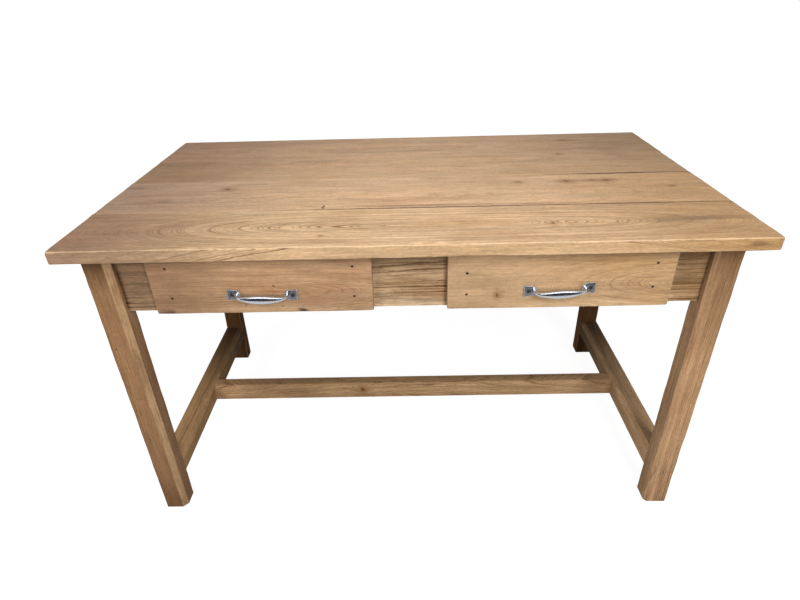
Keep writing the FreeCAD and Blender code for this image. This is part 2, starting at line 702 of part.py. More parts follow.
def drawer_front(hand, side, nails):
    """The overlaid front: lower corners rounded, face edges eased, a groove for the bottom, pilot holes."""
    body = new_body(f"drawer_{hand}_front")
    slab(body, middle_span("(drawer_box_width + 2 * drawer_front_lip)"), ("-drawer_front_thickness", "0"),
         (FRONT_LOW, f"{FRONT_LOW} + apron_height - drawer_front_drop"))
    face, foot = number("-drawer_front_thickness"), number(FRONT_LOW)
    dress(body, "Fillet", "drawer_front_corner",
          lambda box: near(box.XLength, 0) and near(box.ZLength, 0) and near(box.ZMin, foot))
    dress(body, "Fillet", "drawer_front_arris", lambda box: near(box.YMin, face) and near(box.YMax, face))
    groove_half = f"({SIDE_INNER} + drawer_bottom_bite)"
    cut(body, (f"-{groove_half}", groove_half), ("-drawer_bottom_bite", "0"),
        ("drawer_bottom_height", BACK_LOW))
    nail_holes(body, nails, "front")
    for end in (-1, 1):
        arm = f"{end} * handle_spacing / 2"
        tilt = f"{hand}_handle_tilt * 1 deg"
        drill(body, (f"{arm} * cos({tilt})", "-drawer_front_thickness",
                     f"{FRONT_LOW} + handle_height + {arm} * sin({tilt})"), "+Y",
              "handle_screw_radius + fastener_play",
              "handle_screw_length - handle_plate_thickness + fastener_play")
    return body


def drawer_side(hand, place_name, sign, nails):
    body = new_body(f"drawer_{hand}_side_{place_name}")
    slab(body, signed(sign, SIDE_INNER, "drawer_box_width / 2"), ("0", "drawer_box_depth"),
         ("0", "drawer_box_height"))
    cut(body, signed(sign, SIDE_INNER, f"{SIDE_INNER} + drawer_bottom_bite"), ("0", "drawer_box_depth"),
        ("drawer_bottom_height", BACK_LOW))
    nail_holes(body, nails, f"side_{place_name}")
    return body


def drawer_back(hand, nails):
    body = new_body(f"drawer_{hand}_back")
    slab(body, (f"-{SIDE_INNER}", SIDE_INNER), ("drawer_box_depth - drawer_back_thickness",
                                                "drawer_box_depth"), (BACK_LOW, BACK_HIGH))
    nail_holes(body, nails, "back")
    return body


def drawer_bottom(hand, nails):
    body = new_body(f"drawer_{hand}_bottom")
    half = f"({SIDE_INNER} + drawer_bottom_bite - drawer_bottom_play)"
    slab(body, (f"-{half}", half), ("drawer_bottom_play - drawer_bottom_bite", "drawer_box_depth"),
         ("drawer_bottom_height", BACK_LOW))
    nail_holes(body, nails, "bottom")
    return body


def nail(name, start, direction):
    shank = primitive("Cylinder", f"{name}_shank", {"Radius": "nail_radius", "Height": "nail_length"},
                      start, TURNS[direction])
    head = primitive("Cylinder", f"{name}_head", {"Radius": "nail_head_radius", "Height": "nail_head_height"},
                     start, TURNS[direction])
    return fuse(name, shank, head)


# ---- the cast bow handle: a bar that swells and bows out between two fishtail plates ----

HANDLE_ROOT = "(handle_spacing / 2 - handle_plate_inside)"
STATIONS = 12


def bow_station(body, angle):
    """One oval section of the bar, square to its bow, at an angle from the middle of the bow.

    The bow is half of a full oval, a superellipse: the bar rises straight out of each plate, turns, and
    runs nearly straight across. Its section swells from a slim neck to the middle like a leaf."""
    hand, rise = 1 if angle > 0 else -1, "handle_plate_thickness / 2"
    across = f"abs(sin({angle} deg)) ^ (2 / handle_bow_fullness)"
    forward = f"cos({angle} deg) ^ (2 / handle_bow_fullness)"
    x = f"{hand} * {HANDLE_ROOT} * {across}"
    out = f"{rise} + (handle_reach - {rise}) * {forward}"
    lean_across = f"{hand} * (handle_reach - {rise}) * abs(sin({angle} deg)) ^ (2 - 2 / handle_bow_fullness)"
    lean_forward = f"{HANDLE_ROOT} * cos({angle} deg) ^ (2 - 2 / handle_bow_fullness)"
    slope = f"atan2({lean_across}; {lean_forward})"
    swell = f"(1 - ({across}) ^ 2) ^ handle_swell_fullness"
    sketch = new_sketch(body, "YZ_Plane", x)
    sketch.AttachmentOffset = Placement(Vector(), Rotation(Vector(0, 1, 0), 1))
    bind(sketch, "AttachmentOffset.Base.x", f"-({out})")
    bind(sketch, "AttachmentOffset.Rotation.Angle", slope)
    tall = f"handle_neck_height + (handle_bar_height - handle_neck_height) * {swell}"
    deep = f"handle_neck_depth + (handle_bar_depth - handle_neck_depth) * {swell}"
    half_tall, half_deep = number(tall) / 2, number(deep) / 2
    oval = Part.Ellipse(Vector(0, half_tall, 0), Vector(half_deep, 0, 0), Vector(0, 0, 0))
    curve = sketch.addGeometry(oval, False)
    sketch.exposeInternalGeometry(curve)
    sketch.addConstraint(Sketcher.Constraint("Coincident", curve, 3, -1, 1))
    sketch.addConstraint(Sketcher.Constraint("Vertical", curve + 1))
    for line, text, value in ((curve + 1, tall, 2 * half_tall), (curve + 2, deep, 2 * half_deep)):
        held = sketch.addConstraint(Sketcher.Constraint("Distance", line, value))
        bind(sketch, f"Constraints[{held}]", text)
    return sketch


def handle(hand):
    body = new_body(f"drawer_{hand}_handle")
    stations = [bow_station(body, 180 * index / STATIONS - 90) for index in range(STATIONS + 1)]
    bar = body.newObject("PartDesign::AdditiveLoft", f"{body.Name}_bar")
    bar.Profile = stations[0]
    bar.Sections = stations[1:]
    doc.recompute()
    # the left plate: wide at its outer end, narrower at the waist and drawn in round the bar's root
    outside, neck = "(handle_spacing / 2 + handle_plate_outside)", f"({HANDLE_ROOT} - handle_neck_length)"
    half_outline = [(outside, "handle_plate_height / 2"), (HANDLE_ROOT, "handle_plate_waist / 2"),
                    (neck, "handle_plate_neck / 2")]
    corners = [(f"-{across}", up) for across, up in half_outline]
    corners += [(f"-{across}", f"-{up}") for across, up in reversed(half_outline)]
    plate = pad(body, polygon(new_sketch(body, "XZ_Plane"), corners), "handle_plate_thickness")
    pair = body.newObject("PartDesign::Mirrored", f"{body.Name}_pair")
    pair.Originals = [plate]
    pair.MirrorPlane = (origin_plane(body, "YZ_Plane"), [""])
    body.Tip = pair
    face = number("-handle_plate_thickness")
    dress(body, "Fillet", "handle_edge_round",
          lambda box: near(box.YMin, face) and near(box.YMax, face), curves=False)
    for end in (-1, 1):
        centre = (f"{end} * handle_spacing / 2", "-handle_plate_thickness", "0")
        drill(body, centre, "+Y", "handle_screw_radius + fastener_play", "2 * handle_plate_thickness")
        sink = body.newObject("PartDesign::SubtractiveCone", f"{body.Name}_sink")
        sink.Placement = Placement(Vector(), TURNS["+Y"])
        bind(sink, "Radius1", "handle_screw_head_radius + fastener_play")
        bind(sink, "Radius2", "handle_screw_radius + fastener_play")
        bind(sink, "Height", "handle_screw_head_height")
        place(sink, *centre)
    return body


def handle_screws(hand):
    screws = []
    for index, end in enumerate((-1, 1), 1):
        screw = slotted_screw(f"{hand}_handle_screw_{index}", "handle_screw_length", "handle_screw_radius",
                              "handle_screw_head_radius", "handle_screw_head_height")
        screw.Placement = Placement(Vector(), TURNS["+Y"])
        screws.append(place(screw, f"{end} * handle_spacing / 2", "-handle_plate_thickness", "0"))
    return group(f"drawer_{hand}_handle_screws", screws)


def drawer(hand, side):
    nails = drawer_nails(hand, side)
    origin = (f"{side} * {DRAWER_CENTRE}", f"-({APRON_FACE_Y} + drawer_front_gap)", BOX_LOW)
    pieces = [drawer_front(hand, side, nails)]
    for place_name in ("outer", "inner"):
        sign = side if place_name == "outer" else -side
        pieces.append(drawer_side(hand, place_name, sign, nails))
    pieces += [drawer_back(hand, nails), drawer_bottom(hand, nails)]
    pieces.append(group(f"drawer_{hand}_nails",
                        [nail(f"{hand}_nail_{index}", start, direction)
                         for index, (start, direction, _) in enumerate(nails, 1)]))
    for piece in pieces:
        place(piece, *origin)
    pulls = [handle(hand), handle_screws(hand)]
    for piece in pulls:
        # the handle sits a little out of level: turned about the drawer front's normal
        piece.Placement = Placement(Vector(), Rotation(Vector(0, -1, 0), 1))
        bind(piece, "Placement.Rotation.Angle", f"{hand}_handle_tilt * 1 deg")
        place(piece, origin[0], f"{origin[1]} - drawer_front_thickness",
              f"{BOX_LOW} + {FRONT_LOW} + handle_height")
    return pieces + pulls


# ---- the table put together ----

parts = [top_board(name) for name in ("front", "second", "third", "rear")]
parts += [top_tongue("front", "front"), top_tongue("middle", "second"), top_tongue("rear", "third")]
for end_name, end in (("front", -1), ("rear", 1)):
    parts.append(leg(f"{end_name}_left", -1, end, "left_leg_chamfer"))
    parts.append(leg(f"{end_name}_right", 1, end, "right_leg_chamfer"))
    parts.append(long_apron(end_name, end))
for side_name, side in (("left", -1), ("right", 1)):
    parts += [side_apron(side_name, side), side_stretcher(side_name, side)]
    for place_name, sign in (("outer", side), ("inner", -side)):
        parts.append(runner(f"{side_name}_{place_name}", side, sign))
        parts.append(kicker(f"{side_name}_{place_name}", side, sign))
    parts += drawer(side_name, side)
parts.append(centre_stretcher())
parts += buttons_and_screws()
doc.recompute()

for item in doc.Objects:
    if "Invalid" in item.State or "Error" in item.State:
        raise RuntimeError(f"{item.Name} failed: {item.State}")
for part in parts:
    if part.Shape.isNull() or not part.Shape.isValid():
        raise RuntimeError(f"{part.Label} has no valid shape")

os.makedirs("parts", exist_ok=True)
for part in parts:
    part.Shape.exportStep(f"parts/{part.Label}.step")
print(f"{len(parts)} sub-parts written")
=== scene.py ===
import json
import math

import bmesh
import bpy
from mathutils import Euler, Matrix, Vector, noise

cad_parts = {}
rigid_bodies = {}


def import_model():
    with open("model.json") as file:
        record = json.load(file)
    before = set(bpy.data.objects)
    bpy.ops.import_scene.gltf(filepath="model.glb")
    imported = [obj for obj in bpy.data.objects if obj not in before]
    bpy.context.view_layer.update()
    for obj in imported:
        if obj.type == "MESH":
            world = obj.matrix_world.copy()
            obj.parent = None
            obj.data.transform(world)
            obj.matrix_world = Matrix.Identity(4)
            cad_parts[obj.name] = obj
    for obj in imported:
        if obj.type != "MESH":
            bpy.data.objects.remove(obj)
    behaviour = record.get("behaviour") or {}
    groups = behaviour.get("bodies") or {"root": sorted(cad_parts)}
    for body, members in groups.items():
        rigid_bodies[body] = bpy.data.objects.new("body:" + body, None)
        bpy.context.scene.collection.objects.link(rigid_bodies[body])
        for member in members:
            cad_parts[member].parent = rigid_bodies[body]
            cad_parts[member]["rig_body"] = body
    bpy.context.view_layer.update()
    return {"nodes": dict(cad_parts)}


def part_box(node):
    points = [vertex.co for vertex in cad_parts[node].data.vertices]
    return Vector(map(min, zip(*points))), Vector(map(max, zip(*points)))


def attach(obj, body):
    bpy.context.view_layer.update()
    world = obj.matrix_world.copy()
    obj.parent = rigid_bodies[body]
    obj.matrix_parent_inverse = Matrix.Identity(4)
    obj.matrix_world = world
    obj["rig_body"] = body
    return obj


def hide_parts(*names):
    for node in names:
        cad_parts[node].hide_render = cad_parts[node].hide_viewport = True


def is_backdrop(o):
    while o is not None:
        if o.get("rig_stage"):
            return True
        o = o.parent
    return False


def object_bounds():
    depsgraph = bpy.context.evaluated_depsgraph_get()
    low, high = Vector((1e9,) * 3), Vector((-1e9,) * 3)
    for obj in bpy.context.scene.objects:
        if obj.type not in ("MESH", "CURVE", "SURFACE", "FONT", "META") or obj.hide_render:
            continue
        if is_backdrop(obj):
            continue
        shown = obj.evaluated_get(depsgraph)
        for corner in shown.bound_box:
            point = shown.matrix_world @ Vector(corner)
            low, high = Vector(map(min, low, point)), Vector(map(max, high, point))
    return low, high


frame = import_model()

# ---------------------------------------------------------------------------------------------
# The top: four old elm boards, planed by hand, glued on loose tongues and rubbed with oil.
# Two of the three joints between them have opened over the years, and the arrises are worn.
# ---------------------------------------------------------------------------------------------
MM = 1000  # millimetres in a metre


def linear(hex_colour):
    """A colour written in sRGB, as the linear values that the shader wants."""
    values = [int(hex_colour[i : i + 2], 16) / 255 for i in (1, 3, 5)]
    return (*[v / 12.92 if v <= 0.04045 else ((v + 0.055) / 1.055) ** 2.4 for v in values], 1.0)


def add(tree, kind, sockets=(), stops=(), **settings):
    """Adds a node with its settings. Each socket, in order or by name, gets a value or another node.
    Stops are a colour ramp's (place, grey)."""
    made = tree.nodes.new("ShaderNode" + kind)
    for key, value in settings.items():
        setattr(made, key, value)
    for index, (at, share) in enumerate(stops):
        element = made.color_ramp.elements[index] if index < 2 else made.color_ramp.elements.new(at)
        element.position = at
        element.color = (share, share, share, 1)
    for key, value in (sockets if isinstance(sockets, dict) else dict(enumerate(sockets))).items():
        socket = made.inputs[key] if isinstance(key, int) else next(
            s for s in made.inputs if s.name == key and s.enabled)
        if isinstance(value, bpy.types.Node):
            value = next(s for s in value.outputs if s.enabled)
        if isinstance(value, bpy.types.NodeSocket):
            tree.links.new(value, socket)
        else:
            socket.default_value = value
    return made


def empty_material(name):
    """A new material that has no nodes yet, and its node tree."""
    material = bpy.data.materials.new(name)
    material.use_nodes = True
    material.node_tree.nodes.clear()
    return material, material.node_tree


# Solid elm: growth rings round a pith, each opening with a band of coarse pores and closing with
# dense latewood, whose wavy edge gives elm its feathered figure. Every piece is cut from its own
# place in the tree, so the same rings run through its face, its edge and its end grain.
SOFT = {"interpolation_type": "SMOOTHSTEP"}
# Each pattern's cells in millimetres along, across and through the plank, its noise's detail and
# roughness, and the range of noise over which it comes in. A pore is drawn about twice its real width of
# half a millimetre, so that it still shows from a step away.
GRAIN = {
    "sweep": ((520, 110, 110), 1, 0.5, None),
    "feather": ((24, 6, 6), 2, 0.5, None),
    "figure": ((330, 38, 38), 2, 0.6, (0.4, 0.62)),
    "fibre": ((60, 1.5, 1.5), 3, 0.6, None),
    "speck": ((9, 3.6, 3.6), 3, 0.65, None),
    "streak": ((120, 4.5, 4.5), 3, 0.6, None),
    "band": ((600, 42, 42), 2, 0.6, None),
    "blotch": ((55, 18, 18), 4, 0.65, None),
    "pore": ((11, 1.1, 1.1), 1, 0.5, (0.56, 0.72)),
    "crack": ((170, 2.6, 2.6), 2, 0.6, None),
    "warm": ((260, 60, 60), 2, 0.5, (0.48, 0.72)),
    "honey": ((330, 75, 75), 2, 0.6, (0.5, 0.75)),
    "rubbed": ((70, 30, 30), 3, 0.5, (0.35, 0.65)),
    "sheen": ((90, 40, 40), 3, 0.5, (0.3, 0.7)),
    "ragged": ((16, 9, 9), 2, 0.5, None),
}
TREE_STEP = (731, 97, 53)  # mm in the noise from one piece's place in the tree to the next one's
RAGGED_EDGE = (0.007, 0.003, 0.003)  # how far the edge of a stain strays along x, y and z, in metres
YEAR = ((0.0, 1.0), (1.0, 1.0), (0.1, 0.8), (0.32, 0.3), (0.75, 0.05), (0.93, 0.35))  # how open it grows
LEAN_YEAR = 0.25  # how strongly the faintest year shows, as a share of the strongest
YEARS_DRIFT, DRIFT_SCALE = 4.0, 0.3  # rings stray by up to this many years, over about three years
CRACK_EDGE = 0.05  # how much noise there is from the edge of a crack to its depth
KNOT_SHAPE = (2.0, 1.6, 2.6)  # a knot's reach along, across and through, for each millimetre of its size
KNOT_SWELL, KNOT_PUSH = 6, 2.2  # the rings swell round it out to this reach, by this much of its size
HEART = "#472a16"
KNOT_STAINS = ((0.3, 1.0, 0.8, HEART), (0.5, 3.5, 0.45, "#8a5830"))  # from, to, strength and colour
STAIN_CORE = 0.2  # the share of a stain's reach that it fills at full strength
END_GRAIN = (0.2, 2.5, 0.4)  # end grain is darkest this near to an end, plain from here on, and this dark
UNDER_TOP = 743  # height of the underside of the top in mm, where the painted shade under it is darkest
SEAM_DIRT = 0.6  # how dark the dirt in an open seam is
WARM, HONEY = 0.8, 0.7  # how strongly these two tints come in, for each unit of a look's tone
TONES = (("streak", 1.5), ("band", 1.1), ("blotch", 1.0))  # and how much light and dark these patterns give
OPEN_WOOD = (0.1, 0.9, 0.15, 1.0)  # pores are few where a year is closed, and all there where it is open
LEAST_RUBBED = 0.35  # how bare an arris is between the patches that are rubbed fully bare
RELIEF, RELIEF_STRENGTH = 0.4 / MM, 0.5  # how deep the bump is, in metres, and how strongly it tilts light
FIBRE_RIDGE, PORE_DEPTH, YEAR_DEPTH, CRACK_DEPTH = 0.5, -1.0, -0.6, -2.0  # in shares of the relief
PORE_ROUGHNESS = 0.2  # an open pore adds this much to the roughness round it


def elm(name, piece, along, pith, look, seed, knots=(), swells=(), marks=()):
    """Elm for one piece, in millimetres. along is the grain's axis, and pith how far the middle of the tree
    lies across and through from the middle of the piece. look says how this wood is cut, coloured and
    finished, and seed where along the tree it was cut. Knots are (place, size), swells of the rings
    (place, reach, height), and marks (place, reach, strength, colour), with places and reaches along x, y
    and z on the table."""
    material, tree = empty_material(name)
    low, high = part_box(piece)
    turn = {"X": Euler((0, 0, 0)), "Y": Euler((0, 0, -math.pi / 2)), "Z": Euler((0, math.pi / 2, 0))}[along]
    spin = turn.to_matrix()
    half = Vector([abs(v) for v in spin @ ((high - low) * MM / 2)])
    middle = spin @ ((low + high) * -MM / 2)
    place = add(tree, "TexCoord").outputs["Object"]
    plank = add(tree, "Mapping", {"Vector": place, "Location": middle, "Rotation": turn,
                                  "Scale": (MM, MM, MM)})
    moved = add(tree, "VectorMath", (plank, [seed * v for v in TREE_STEP]), operation="ADD")

    def cloud(pattern):
        """The noise of one of the wood's patterns, laid out along the plank."""
        size, detail, roughness, _ = GRAIN[pattern]
        at = add(tree, "Mapping", {"Vector": moved, "Scale": [1 / s for s in size]})
        return add(tree, "TexNoise", {"Vector": at, "Scale": 1.0, "Detail": detail, "Roughness": roughness})

    def patches(pattern, outside, inside, **settings):
        """A pattern's patches: one value outside them, another inside."""
        return add(tree, "MapRange", (cloud(pattern), *GRAIN[pattern][3], outside, inside), **settings)

    def shifted(vector, pattern, reach):
        """The vector pushed about by a pattern's noise, by up to this reach."""
        push = add(tree, "VectorMath", (cloud(pattern).outputs["Color"], (0.5, 0.5, 0.5)),
                   operation="SUBTRACT")
        return add(tree, "VectorMath", (push, [2 * r for r in reach], vector), operation="MULTIPLY_ADD")

    ragged = shifted(place, "ragged", RAGGED_EDGE)

    def away(spot, reach):
        """How far a point lies from a spot on the table, in reaches, with the ragged edge of a stain."""
        at = add(tree, "Mapping", {"Vector": ragged, "Location": [-v / r for v, r in zip(spot, reach)],
                                   "Scale": [MM / r for r in reach]})
        return add(tree, "VectorMath", (at,), operation="LENGTH").outputs["Value"]

    # The trunk bowed and wandered as it grew. bow is where along the plank its pith comes nearest, and
    # how far it falls away, across and through, in the first 100 mm from there.
    bend, fall = look["bow"]
    off_bend = add(tree, "SeparateXYZ", (plank,)).outputs["X"]
    off_bend = add(tree, "Math", (off_bend, bend), operation="SUBTRACT")
    sag = add(tree, "Math", (off_bend, off_bend), operation="MULTIPLY")
    bowed = add(tree, "VectorMath", (sag, (0, fall[0] / 100 ** 2, fall[1] / 100 ** 2), plank),
                operation="MULTIPLY_ADD")
    sweep = shifted(bowed, "sweep", (0, look["wander"], look["wander"]))
    wave = shifted(sweep, "feather", (0, look["feather"], look["feather"]))
    trunk = add(tree, "Mapping", {"Vector": wave, "Location": (0, -pith[0], -pith[1])})
    trunk = add(tree, "VectorMath", (trunk, (0, 1, 1)), operation="MULTIPLY")
    radius = add(tree, "VectorMath", (trunk,), operation="LENGTH").outputs["Value"]
    stains = []
    for spot, reach, height in swells:
        swell = add(tree, "MapRange", (away(spot, reach), 0, 1, height, 0), **SOFT)
        radius = add(tree, "Math", (radius, swell), operation="ADD")
    for spot, size in knots:
        # a knot is the root of a branch: the rings swell round it, and its heart is dark
        near = away(spot, [size * abs(v) for v in spin.inverted() @ Vector(KNOT_SHAPE)])
        swell = add(tree, "MapRange", (near, 0, KNOT_SWELL, size * KNOT_PUSH, 0), **SOFT)
        radius = add(tree, "Math", (radius, swell), operation="ADD")
        for start, stop, strength, colour in KNOT_STAINS:
            stains.append((add(tree, "MapRange", (near, start, stop, strength, 0), **SOFT), colour))

    # Years are counted outwards from the pith. Fat and lean years differ in width and in tone, and the
    # figure fades and comes back along the board, as the saw left the rings at a changing slant.
    count = add(tree, "Math", (radius, look["ring"]), operation="DIVIDE")
    drift = add(tree, "TexNoise", {"W": count, "Scale": DRIFT_SCALE, "Detail": 1.0}, noise_dimensions="1D")
    count = add(tree, "Math", (drift, YEARS_DRIFT, count), operation="MULTIPLY_ADD")
    year = add(tree, "TexWhiteNoise", {"W": add(tree, "Math", (count,), operation="FLOOR")},
               noise_dimensions="1D")
    early = add(tree, "ValToRGB", (add(tree, "Math", (count,), operation="FRACT"),), stops=YEAR)
    shown = patches("figure", look["faint"], 1.0, **SOFT)
    lean = add(tree, "MapRange", (year, 0, 1, LEAN_YEAR * look["figure"], look["figure"]))
    rings = add(tree, "Math", (add(tree, "Math", (early, shown), operation="MULTIPLY"), lean),
                operation="MULTIPLY")

    # Fine fibres, flecks, long streaks and broad bands of tone run along the grain. Pores are cut open
    # most where a year begins, and dry wood splits along its fibres.
    fibre = cloud("fibre")
    pores = add(tree, "Math", (patches("pore", 0, 1, **SOFT),
                               add(tree, "MapRange", (early, *OPEN_WOOD))), operation="MULTIPLY")
    cracks = add(tree, "MapRange", (cloud("crack"), look["crack"], look["crack"] + CRACK_EDGE, 0,
                                    look["cracks"]), **SOFT)
    light = 1.0
    tones = [(cloud(pattern), share * look["tone"]) for pattern, share in TONES]
    for pattern, share in [(fibre, look["fibre"]), (cloud("speck"), look["speck"]), *tones]:
        change = add(tree, "Math", (pattern, share, 1 - share / 2), operation="MULTIPLY_ADD")
        light = add(tree, "Math", (light, change), operation="MULTIPLY")

    # The piece's own measure of its edges is 1 on a rubbed arris and -1 in an open seam, which holds dirt.
    # Dirt is also drawn into the end grain, and shade is painted up the legs and aprons to the underside of
    # the top, where its shadow falls.
    slant = add(tree, "Attribute", attribute_name="arris").outputs["Fac"]
    bare = add(tree, "Math", (add(tree, "MapRange", (slant, 0, 1, 0, look["rub"])),
                              patches("rubbed", LEAST_RUBBED, 1.0, **SOFT)), operation="MULTIPLY")
    seam = add(tree, "MapRange", (slant, 0, -1, 0, SEAM_DIRT))
    inside = add(tree, "VectorMath", (plank,), operation="ABSOLUTE")
    inside = add(tree, "SeparateXYZ", (add(tree, "VectorMath", (half, inside), operation="SUBTRACT"),))
    end = add(tree, "MapRange", (inside.outputs[0], *END_GRAIN, 0), **SOFT)
    level = add(tree, "SeparateXYZ", (place,)).outputs["Z"]
    painted_top_shadow = add(tree, "MapRange", (level, look["shade_below_top_from"] / MM, UNDER_TOP / MM, 0, look["shade_below_top"]))
    warm = patches("warm", 0, WARM * look["tone"], **SOFT)
    honey = patches("honey", HONEY * look["tone"], 0, **SOFT)
    pore_amount = add(tree, "Math", (pores, look["pores"]), operation="MULTIPLY")

    layers = [(honey, look["honey"]), (warm, look["stain"]), (rings, look["dark"])]
    layers += [(amount, look["pore"]) for amount in (pore_amount, cracks, end, painted_top_shadow)]
    for spot, reach, strength, colour in marks:
        faded = add(tree, "MapRange", (away(spot, reach), STAIN_CORE, 1.0, strength, 0), **SOFT)
        layers.append((faded, colour))
    wood = linear(look["pale"])
    for amount, colour in layers + stains + [(seam, HEART), (bare, look["bare"])]:
        wood = add(tree, "Mix", {"Factor": amount, "A": wood, "B": linear(colour)}, data_type="RGBA")
    wood = add(tree, "VectorMath", (wood, light), operation="MULTIPLY")

    height = add(tree, "Math", (fibre, FIBRE_RIDGE), operation="MULTIPLY")
    for pattern, depth in ((pores, PORE_DEPTH), (early, YEAR_DEPTH * look["pores"]), (cracks, CRACK_DEPTH)):
        height = add(tree, "Math", (pattern, depth, height), operation="MULTIPLY_ADD")
    relief = add(tree, "Bump", {"Strength": RELIEF_STRENGTH, "Distance": RELIEF, "Height": height})
    gloss = patches("sheen", look["smooth"], look["rough"])
    gloss = add(tree, "Math", (pores, PORE_ROUGHNESS, gloss), operation="MULTIPLY_ADD", use_clamp=True)
    shader = add(tree, "BsdfPrincipled", {"Base Color": wood, "Roughness": gloss, "Normal": relief,
                                          "Specular IOR Level": look["shine"]})
    add(tree, "OutputMaterial", {"Surface": shader})
    return material


# A hand plane never leaves a true edge, and use rounds it further: each arris of the worn copy is
# opened or closed along its length by noise, most of all at the corners that people brush against.
WELD, SNAP = 0.01 / MM, 0.02 / MM  # corners this near are one, and a cut keeps the points this near to it
FLAT_ANGLE, SHARP_ANGLE = 0.4, 32  # degrees: below the one an edge is no edge, above the other it is sharp
CUT_ALONG, CUT_ACROSS, UNCUT = 16, 14, 40  # mm between the cuts that let an edge waver; none below UNCUT
NEARLY = 1.01  # a point belongs to an arris that it lies this many radii from, or less
LONG_WAVE, SHORT_WAVE, SHORT_SHARE = 46, 15, 0.4  # mm of the waves in an arris, and the short ones' share
LEAST_WEAR = 0.45  # no arris is sharper than this share of the radius that it was made with
MEAN_WEAR, WAVE_WEAR = 0.35, 0.9  # the share of the most wear that is everywhere, and that comes in waves
BRUSHED = 30 / MM  # how far from a corner its extra wear goes
SQUARENESS = 5  # the power of the curve that a worn round corner follows: 2 is round, more is squarer
JOINT_EDGE, JOINT_FACE = 2.2 / MM, 5 / MM  # how deep the edge of a joint reaches, and its whole face
SHUT_ARRIS = 0.2  # the share of an arris that is left where a joint is shut
END_DEPTH = 20 / MM  # what lies this near to a board's end moves with it
ROUND_FROM, ROUND_OVER = 0.04, 0.16  # how slanted a face is where an arris begins, and up to its middle


